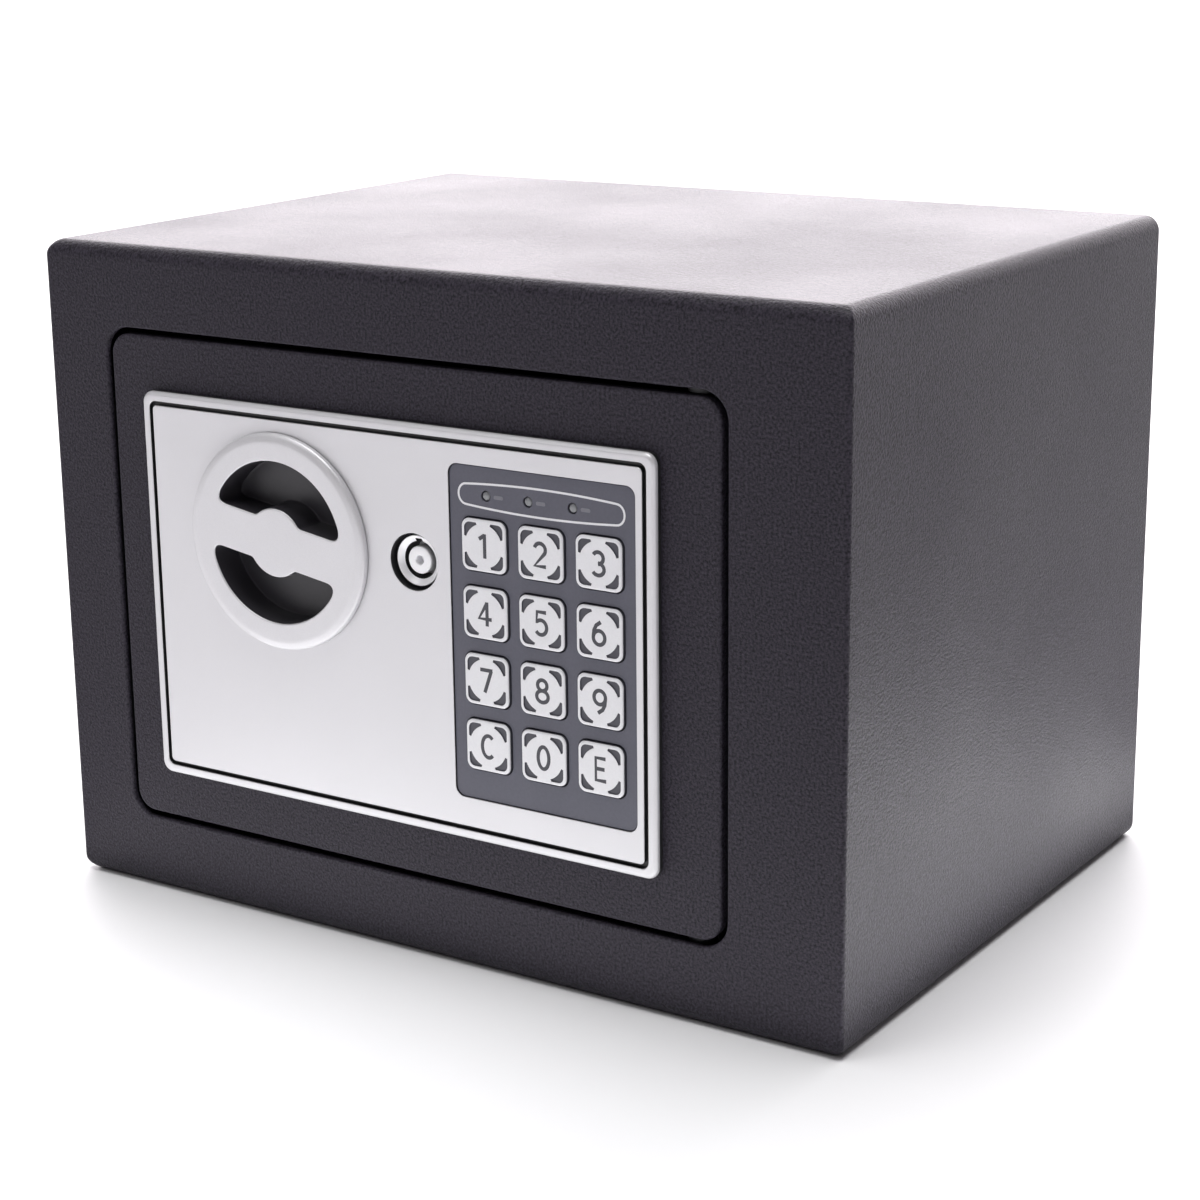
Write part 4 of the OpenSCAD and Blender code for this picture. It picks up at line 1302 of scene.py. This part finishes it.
def make_signs():
    """Strokes of each sign, in millimetres about its middle: lists of (points, closed)."""
    loop_low = oval(0, -1.05, 1.55, 1.65)[:-1]
    loop_high = oval(0, 1.05, 1.55, 1.65)[:-1]
    return {
        "1": [([(-1.2, 1.6), (0.35, 2.6)], False), ([(0.35, 2.9), (0.35, -2.9)], False)],
        "2": [(oval(0, 1.2, 1.5, 1.5, 165, -35, 16) + [(-1.55, -2.7), (1.6, -2.7)], False)],
        "3": [(oval(-0.05, 1.32, 1.4, 1.38, 150, -90, 18), False),
              (oval(-0.05, -1.28, 1.6, 1.42, 90, -150, 18), False)],
        "4": [([(0.6, -2.9), (0.6, 2.9)], False), ([(0.6, 2.6), (-1.7, -1.2), (1.9, -1.2)], False)],
        "5": [([(1.4, 2.7), (-1.1, 2.7), (-1.3, 0.3)] + oval(-0.1, -0.95, 1.6, 1.75, 130, -145, 20), False)],
        "6": [(loop_low, True), ([(-1.54, -0.9), (-1.35, 0.6), (-0.75, 1.8), (0.5, 2.7)], False)],
        "7": [([(-1.7, 2.6), (1.8, 2.6)], False), ([(1.45, 2.6), (-0.5, -2.9)], False)],
        "8": [(oval(0, 1.4, 1.3, 1.3)[:-1], True), (oval(0, -1.3, 1.6, 1.4)[:-1], True)],
        "9": [(loop_high, True), ([(1.54, 0.9), (1.35, -0.6), (0.75, -1.8), (-0.5, -2.7)], False)],
        "C": [(oval(0.15, 0, 1.75, 2.7, 48, 312, 26), False)],
        "0": [(oval(0, 0, 1.5, 2.7)[:-1], True)],
        "E": [([(1.4, 2.7), (-1.3, 2.7), (-1.3, -2.7), (1.5, -2.7)], False),
              ([(-1.3, 0.1), (1.1, 0.1)], False)],
    }


SIGNS = make_signs()


class SAFE_OT_inner_cover(bpy.types.Operator):
    """Pressed cover behind the door, with the battery cover and the reset button"""
    bl_idname = "safe.inner_cover"
    bl_label = "Inner cover"

    def execute(self, context):
        self.pan()
        self.lid()
        self.button()
        return {"FINISHED"}

    def pan(self):
        """Pressed pan with rounded edges, its holes, and a screw flange above and below."""
        low, high, near, rear = extent("inner_cover")
        wall, flange, bend, lip = 1 * MM, 8 * MM, 2.2 * MM, 0.25 * MM
        bottom, top = low.z + flange, high.z - flange
        outline = box_outline(Vector((low.x, low.y, bottom)), Vector((high.x, high.y, top)), 3 * MM)
        inside_bend = fillet(bend - wall, rear - wall, -1)
        shell = Shell()
        foot, face = shell.wall(outline, [(0, near)] + fillet(bend, rear, -1, 6)[::-1])
        inner_foot, inner_face = shell.wall(
            outline, [(-wall, near)] + [(offset - wall, depth) for offset, depth in inside_bend[::-1]])
        shell.skirt(foot, inner_foot)
        outs, ins = shell.walls(self.holes(), [(lip, rear), (0, rear - lip), (0, rear - wall)])
        shell.cap(face, outs)
        shell.cap(inner_face, ins)
        pan = shell.made("pan", "inner_paint")
        bolts_low, bolts_high = low_high("locking_bolts")
        y = (bolts_low.y + bolts_high.y) / 2
        radius = (bolts_high.y - bolts_low.y) / 2
        play = 0.8 * MM
        cut_with(pan, [
            rod("bolt hole", (low.x - THROUGH, y, z), (low.x + THROUGH, y, z), radius + play)
            for z in (bolts_low.z + radius, bolts_high.z - radius)])
        screws = corners_of("cover_screws", COVER_SCREW)
        obj = joined("inner_cover_coated", [
            pan,
            self.flange(low.z, bottom + wall, screws[::2]),
            self.flange(top - wall, high.z, screws[1::2])])
        settle(obj)
        place(obj, "door", "inner_paint", "inner_cover")

    def flange(self, bottom, top, screws):
        """Screw flange with slightly rounded edges and its two screw holes."""
        low, high, near, _ = extent("inner_cover")
        inset, thick, edge = 6 * MM, 1 * MM, 0.3 * MM
        left, right = low.x + inset, high.x - inset
        far = near + thick
        outline = rounded_rect((left + right) / 2, (bottom + top) / 2, right - left, top - bottom, 2 * MM, 6)
        shell = Shell()
        front, back = shell.wall(outline, [(0, near), (0, far - edge), (-edge, far)])
        fronts, backs = shell.walls([circle(x, z, 1.7 * MM, 24) for x, z in screws], [(0, near), (0, far)])
        shell.cap(front, fronts)
        shell.cap(back, backs)
        return shell.made("flange", "inner_paint")

    def holes(self):
        """Battery opening, button hole and the buzzer's sound holes."""
        battery, button, buzzer = middle("battery_cover"), middle("reset_button"), middle("buzzer")
        holes = [rounded_rect(battery.x, battery.z, 59 * MM, 53.6 * MM, 1.2 * MM, 4),
                 circle(button.x, button.z, 3.3 * MM, 32)]
        holes += [circle(buzzer.x + 3 * MM * k, buzzer.z, 0.9 * MM, 16) for k in (-2, -1, 0, 1, 2)]
        return holes

    def lid(self):
        """Battery cover with three grip slots, an arrow and a lip that plugs into the opening."""
        low, high, front, rear = extent("battery_cover")
        x, z = (low.x + high.x) / 2, (low.z + high.z) / 2
        near = rear - 1.8 * MM
        shell = Shell()
        face, foot = shell.wall(box_outline(low, high, 3 * MM), fillet(0.6 * MM, rear, -1) + [(0, near)])
        rise, pitch, lip = 20 * MM, 2.4 * MM, 0.15 * MM
        slots = [rounded_rect(x, z + rise + pitch * k, 18 * MM, 1.1 * MM, 0.5 * MM, 4) for k in (-1, 0, 1)]
        mouths, floors = shell.walls(slots, [(lip, rear), (0, rear - lip), (-0.1 * MM, rear - 0.6 * MM)])
        mouth, floor = shell.wall(self.arrow(x, z + 13 * MM), [(0, rear), (0, rear - 0.3 * MM)])
        for sunk in (*floors, floor):
            shell.cap(sunk)
        shell.cap(face, [*mouths, mouth])
        wide, tall, thick = 58 * MM, 52.6 * MM, 1.5 * MM
        lip_out, lip_end = shell.wall(
            rounded_rect(x, z, wide, tall, 1 * MM, 4), [(0, near), (0, front)])
        lip_in, lip_top = shell.wall(
            rounded_rect(x, z, wide - 2 * thick, tall - 2 * thick, 1 * MM, 4), [(0, front), (0, near)])
        shell.skirt(lip_end, lip_in)
        shell.cap(foot, [lip_out])
        shell.cap(lip_top)
        obj = shell.made("battery_lid_moulded", "black_plastic")
        settle(obj)
        place(obj, "battery_lid", "black_plastic", "battery_cover")

    def arrow(self, x, z):
        """Plain arrow that shows which way the lid comes off."""
        shape = [(0, -3), (3, 0), (1.2, 0), (1.2, 3), (-1.2, 3), (-1.2, 0), (-3, 0)]
        return [(x + a * MM, z + b * MM) for a, b in shape]

    def button(self):
        """Domed red button on a stem."""
        low, high, near, rear = extent("reset_button")
        x, z = (low.x + high.x) / 2, (low.z + high.z) / 2
        radius = (high.x - low.x) / 2
        dome = [(-2.2, 0), (-1.6, 0.1), (-0.9, 0.35), (-0.3, 0.8), (0, 1.4)]
        profile = [(offset * MM, rear - depth * MM) for offset, depth in dome]
        stem, head_front = 2 * MM, 35 * MM
        profile += [(0, head_front), (stem - radius, head_front), (stem - radius, near)]
        shell = Shell()
        top, end = shell.wall(circle(x, z, radius, 40), profile)
        shell.cap(top)
        shell.cap(end)
        obj = shell.made("reset_button_moulded", "red_button")
        settle(obj, 50)
        place(obj, "reset_push", "red_button", "reset_button")


# ---- Geometry Nodes ----

def node_tree(name, inputs):
    """New geometry tree with a geometry in and out, and named inputs of (name, socket type, default)."""
    tree = bpy.data.node_groups.new(name, "GeometryNodeTree")
    tree.interface.new_socket("Geometry", in_out="INPUT", socket_type="NodeSocketGeometry")
    for label, kind, default in inputs:
        socket = tree.interface.new_socket(label, in_out="INPUT", socket_type=kind)
        if default is not None:
            socket.default_value = default
    tree.interface.new_socket("Geometry", in_out="OUTPUT", socket_type="NodeSocketGeometry")
    return tree, tree.nodes.new("NodeGroupInput"), tree.nodes.new("NodeGroupOutput")


def socket_id(tree, label):
    """Identifier of a tree's named input."""
    return next(i.identifier for i in tree.interface.items_tree if i.name == label and i.in_out == "INPUT")


def grow_with_tree(obj, tree, values):
    """Runs a tree on an object with the given inputs, and keeps the plain mesh."""
    modifier = obj.modifiers.new(tree.name, "NODES")
    modifier.node_group = tree
    for label, value in values.items():
        modifier[socket_id(tree, label)] = value
    apply_modifiers(obj)


def points_object(name, points):
    """Loose vertices for a tree to work on."""
    mesh = bpy.data.meshes.new(name)
    mesh.from_pydata(points, [], [])
    return new_object(name, mesh)


def screw_tree():
    """Sets a copy of a screw on every point, each turned by a seeded amount about Y."""
    tree, start, end = node_tree("screws on points", [
        ("Screw", "NodeSocketObject", None), ("Seed", "NodeSocketInt", 4),
        ("Finish", "NodeSocketMaterial", None)])
    link = tree.links.new
    info = tree.nodes.new("GeometryNodeObjectInfo")
    link(start.outputs["Screw"], info.inputs["Object"])
    turn = tree.nodes.new("FunctionNodeRandomValue")
    turn.data_type = "FLOAT"
    turn.inputs[3].default_value = 2 * pi
    link(start.outputs["Seed"], turn.inputs["Seed"])
    axis = tree.nodes.new("ShaderNodeCombineXYZ")
    link(turn.outputs[1], axis.inputs["Y"])
    copies = tree.nodes.new("GeometryNodeInstanceOnPoints")
    link(start.outputs["Geometry"], copies.inputs["Points"])
    link(info.outputs["Geometry"], copies.inputs["Instance"])
    link(axis.outputs[0], copies.inputs["Rotation"])
    real = tree.nodes.new("GeometryNodeRealizeInstances")
    link(copies.outputs[0], real.inputs[0])
    painted = tree.nodes.new("GeometryNodeSetMaterial")
    link(real.outputs[0], painted.inputs["Geometry"])
    link(start.outputs["Finish"], painted.inputs["Material"])
    link(painted.outputs[0], end.inputs[0])
    return tree


def screw_template(head_r, head_h, shank_r, shank_len, washer=None):
    """Cross-head screw about the origin: its head starts at y = 0 and rises to +Y."""
    dome = [(0.0, 1.0), (0.45, 0.97), (0.75, 0.8), (0.93, 0.52), (1.0, 0.2), (1.0, 0.0)]
    profile = [(head_r * r, head_h * y) for r, y in dome]
    seat = 0.0
    if washer:
        seat = -0.6 * MM
        profile += [(washer, 0.0), (washer, seat)]
    profile += [(shank_r, seat), (shank_r, -shank_len + shank_r), (0.0, -shank_len)]
    screw = new_object("screw", turned_part("screw", profile), [finish_of("bare_steel")])
    cut_with(screw, [cross_arm(head_r, head_h, *wide) for wide in ((0.16, 0.62), (0.62, 0.16))])
    settle(screw, 40)
    return screw


def turned_part(name, profile, sides=32):
    """Closed mesh turned about Y from (radius, y) pairs that start and end on the axis."""
    bm = bmesh.new()
    turns = [2 * pi * i / sides for i in range(sides)]
    rings = [
        [bm.verts.new((r * cos(t), y, r * sin(t))) for t in turns] if r else [bm.verts.new((0, y, 0))]
        for r, y in profile]
    for a, b in zip(rings, rings[1:]):
        for i in range(sides):
            k = (i + 1) % sides
            corners = [a[i % len(a)], a[k % len(a)], b[k % len(b)], b[i % len(b)]]
            bm.faces.new(list(dict.fromkeys(corners)))
    bmesh.ops.recalc_face_normals(bm, faces=bm.faces)
    return mesh_of(bm, name)


def cross_arm(head_r, head_h, wide_x, wide_z):
    """Tapered cutter for one arm of a screw's cross, as wide as the given shares of the head."""
    bm = bmesh.new()
    bmesh.ops.create_cube(bm, size=1.0)
    size = Vector((wide_x * 2 * head_r, head_h * 1.3, wide_z * 2 * head_r))
    for v in bm.verts:
        taper = 0.55 if v.co.y < 0 else 1.0
        v.co = Vector((v.co.x * size.x * taper, v.co.y * size.y + head_h, v.co.z * size.z * taper))
    return new_object("cross", mesh_of(bm, "cross"))


class SAFE_OT_screws(bpy.types.Operator):
    """Panel screws with their washers, and the inner cover's screws"""
    bl_idname = "safe.screws"
    bl_label = "Screws"

    def execute(self, context):
        tree = screw_tree()
        back = DOOR_HIGH.y
        rows = (
            ("panel_screws_steel", "bezel_screws", PANEL_SCREW, back + 0.6 * MM, 3,
             (2.5 * MM, 1.5 * MM, 1.2 * MM, 4.2 * MM, PANEL_SCREW)),
            ("cover_screws_steel", "cover_screws", COVER_SCREW, back + 1 * MM, 8,
             (COVER_SCREW, 2 * MM, 1.5 * MM, 2.5 * MM)),
        )
        for name, node, radius, seat, seed, shape in rows:
            screw = screw_template(*shape)
            obj = points_object(name, [(x, seat, z) for x, z in corners_of(node, radius)])
            grow_with_tree(obj, tree, {"Screw": screw, "Seed": seed, "Finish": finish_of("bare_steel")})
            bpy.data.objects.remove(screw, do_unlink=True)
            settle(obj, 40)
            place(obj, "door", "bare_steel", node)
        return {"FINISHED"}


def coil_tree():
    """Wire coil about Z, from one radius to another, standing on the origin."""
    tree, start, end = node_tree("wire coil", [
        ("Turns", "NodeSocketFloat", 4.0), ("Start radius", "NodeSocketFloat", 0.004),
        ("End radius", "NodeSocketFloat", 0.004), ("Height", "NodeSocketFloat", 0.005),
        ("Wire", "NodeSocketFloat", 0.0004), ("Finish", "NodeSocketMaterial", None)])
    link = tree.links.new
    spiral = tree.nodes.new("GeometryNodeCurveSpiral")
    spiral.inputs["Resolution"].default_value = 28
    sockets = {
        "Turns": "Rotations", "Start radius": "Start Radius", "End radius": "End Radius", "Height": "Height"}
    for label, socket in sockets.items():
        link(start.outputs[label], spiral.inputs[socket])
    wire = tree.nodes.new("GeometryNodeCurvePrimitiveCircle")
    wire.inputs["Resolution"].default_value = 10
    link(start.outputs["Wire"], wire.inputs["Radius"])
    tube = tree.nodes.new("GeometryNodeCurveToMesh")
    tube.inputs["Fill Caps"].default_value = True
    link(spiral.outputs[0], tube.inputs["Curve"])
    link(wire.outputs[0], tube.inputs["Profile Curve"])
    copies = tree.nodes.new("GeometryNodeInstanceOnPoints")
    link(start.outputs["Geometry"], copies.inputs["Points"])
    link(tube.outputs[0], copies.inputs["Instance"])
    real = tree.nodes.new("GeometryNodeRealizeInstances")
    link(copies.outputs[0], real.inputs[0])
    painted = tree.nodes.new("GeometryNodeSetMaterial")
    link(real.outputs[0], painted.inputs["Geometry"])
    link(start.outputs["Finish"], painted.inputs["Material"])
    link(painted.outputs[0], end.inputs[0])
    return tree


class SAFE_OT_springs(bpy.types.Operator):
    """Return spring of the solenoid's plunger"""
    bl_idname = "safe.springs"
    bl_label = "Springs"

    def execute(self, context):
        tree = coil_tree()
        low, high = low_high("plunger_spring")
        wire = 0.35 * MM
        centre = (low + high) / 2
        radius = (high.x - low.x) / 2 - wire
        obj = points_object("plunger_spring_wire", [(centre.x, centre.y, low.z + wire)])
        grow_with_tree(obj, tree, {
            "Turns": 4.0, "Start radius": radius, "End radius": radius, "Height": high.z - low.z - 2 * wire,
            "Wire": wire, "Finish": finish_of("bare_steel")})
        settle(obj, 60)
        place(obj, "solenoid_plunger", "bare_steel", "plunger_spring")
        return {"FINISHED"}


class SAFE_OT_hardware(bpy.types.Operator):
    """Gives every carried-over model node its finish"""
    bl_idname = "safe.hardware"
    bl_label = "Hardware finishes"

    def execute(self, context):
        slots = {s["node"]: s["material_slot"] for s in frame["record"]["subparts"]}
        for name, obj in frame["nodes"].items():
            obj.data.materials.clear()
            obj.data.materials.append(finish_of(slots[name]))
        return {"FINISHED"}


class SAFE_PT_panel(bpy.types.Panel):
    """Buttons that build the safe piece by piece"""
    bl_idname = "SAFE_PT_panel"
    bl_label = "Small Keypad Safe"
    bl_space_type = "VIEW_3D"
    bl_region_type = "UI"
    bl_category = "Safe"

    def draw(self, context):
        for operator in OPERATORS:
            self.layout.operator(operator.bl_idname)
        for group in (context.scene.safe_sizes, context.scene.safe_colours):
            for name in group.bl_rna.properties.keys():
                if name not in ("name", "rna_type"):
                    self.layout.prop(group, name)


OPERATORS = (
    SAFE_OT_stage, SAFE_OT_hardware, SAFE_OT_case, SAFE_OT_mat, SAFE_OT_door, SAFE_OT_panel, SAFE_OT_knob,
    SAFE_OT_lock, SAFE_OT_keypad, SAFE_OT_keys, SAFE_OT_inner_cover, SAFE_OT_screws, SAFE_OT_springs,
)
CLASSES = (SafeSizes, SafeColours, *OPERATORS, SAFE_PT_panel)


def register():
    """Registers the classes and hangs the sizes and colours on the scene."""
    for cls in CLASSES:
        bpy.utils.register_class(cls)
    bpy.types.Scene.safe_sizes = bpy.props.PointerProperty(type=SafeSizes)
    bpy.types.Scene.safe_colours = bpy.props.PointerProperty(type=SafeColours)


def unregister():
    """Takes back what register does."""
    del bpy.types.Scene.safe_colours
    del bpy.types.Scene.safe_sizes
    for cls in reversed(CLASSES):
        bpy.utils.unregister_class(cls)


def main():
    """Builds every piece."""
    register()
    for operator in OPERATORS:
        group, name = operator.bl_idname.split(".")
        getattr(getattr(bpy.ops, group), name)()


if __name__ == "__main__":
    main()
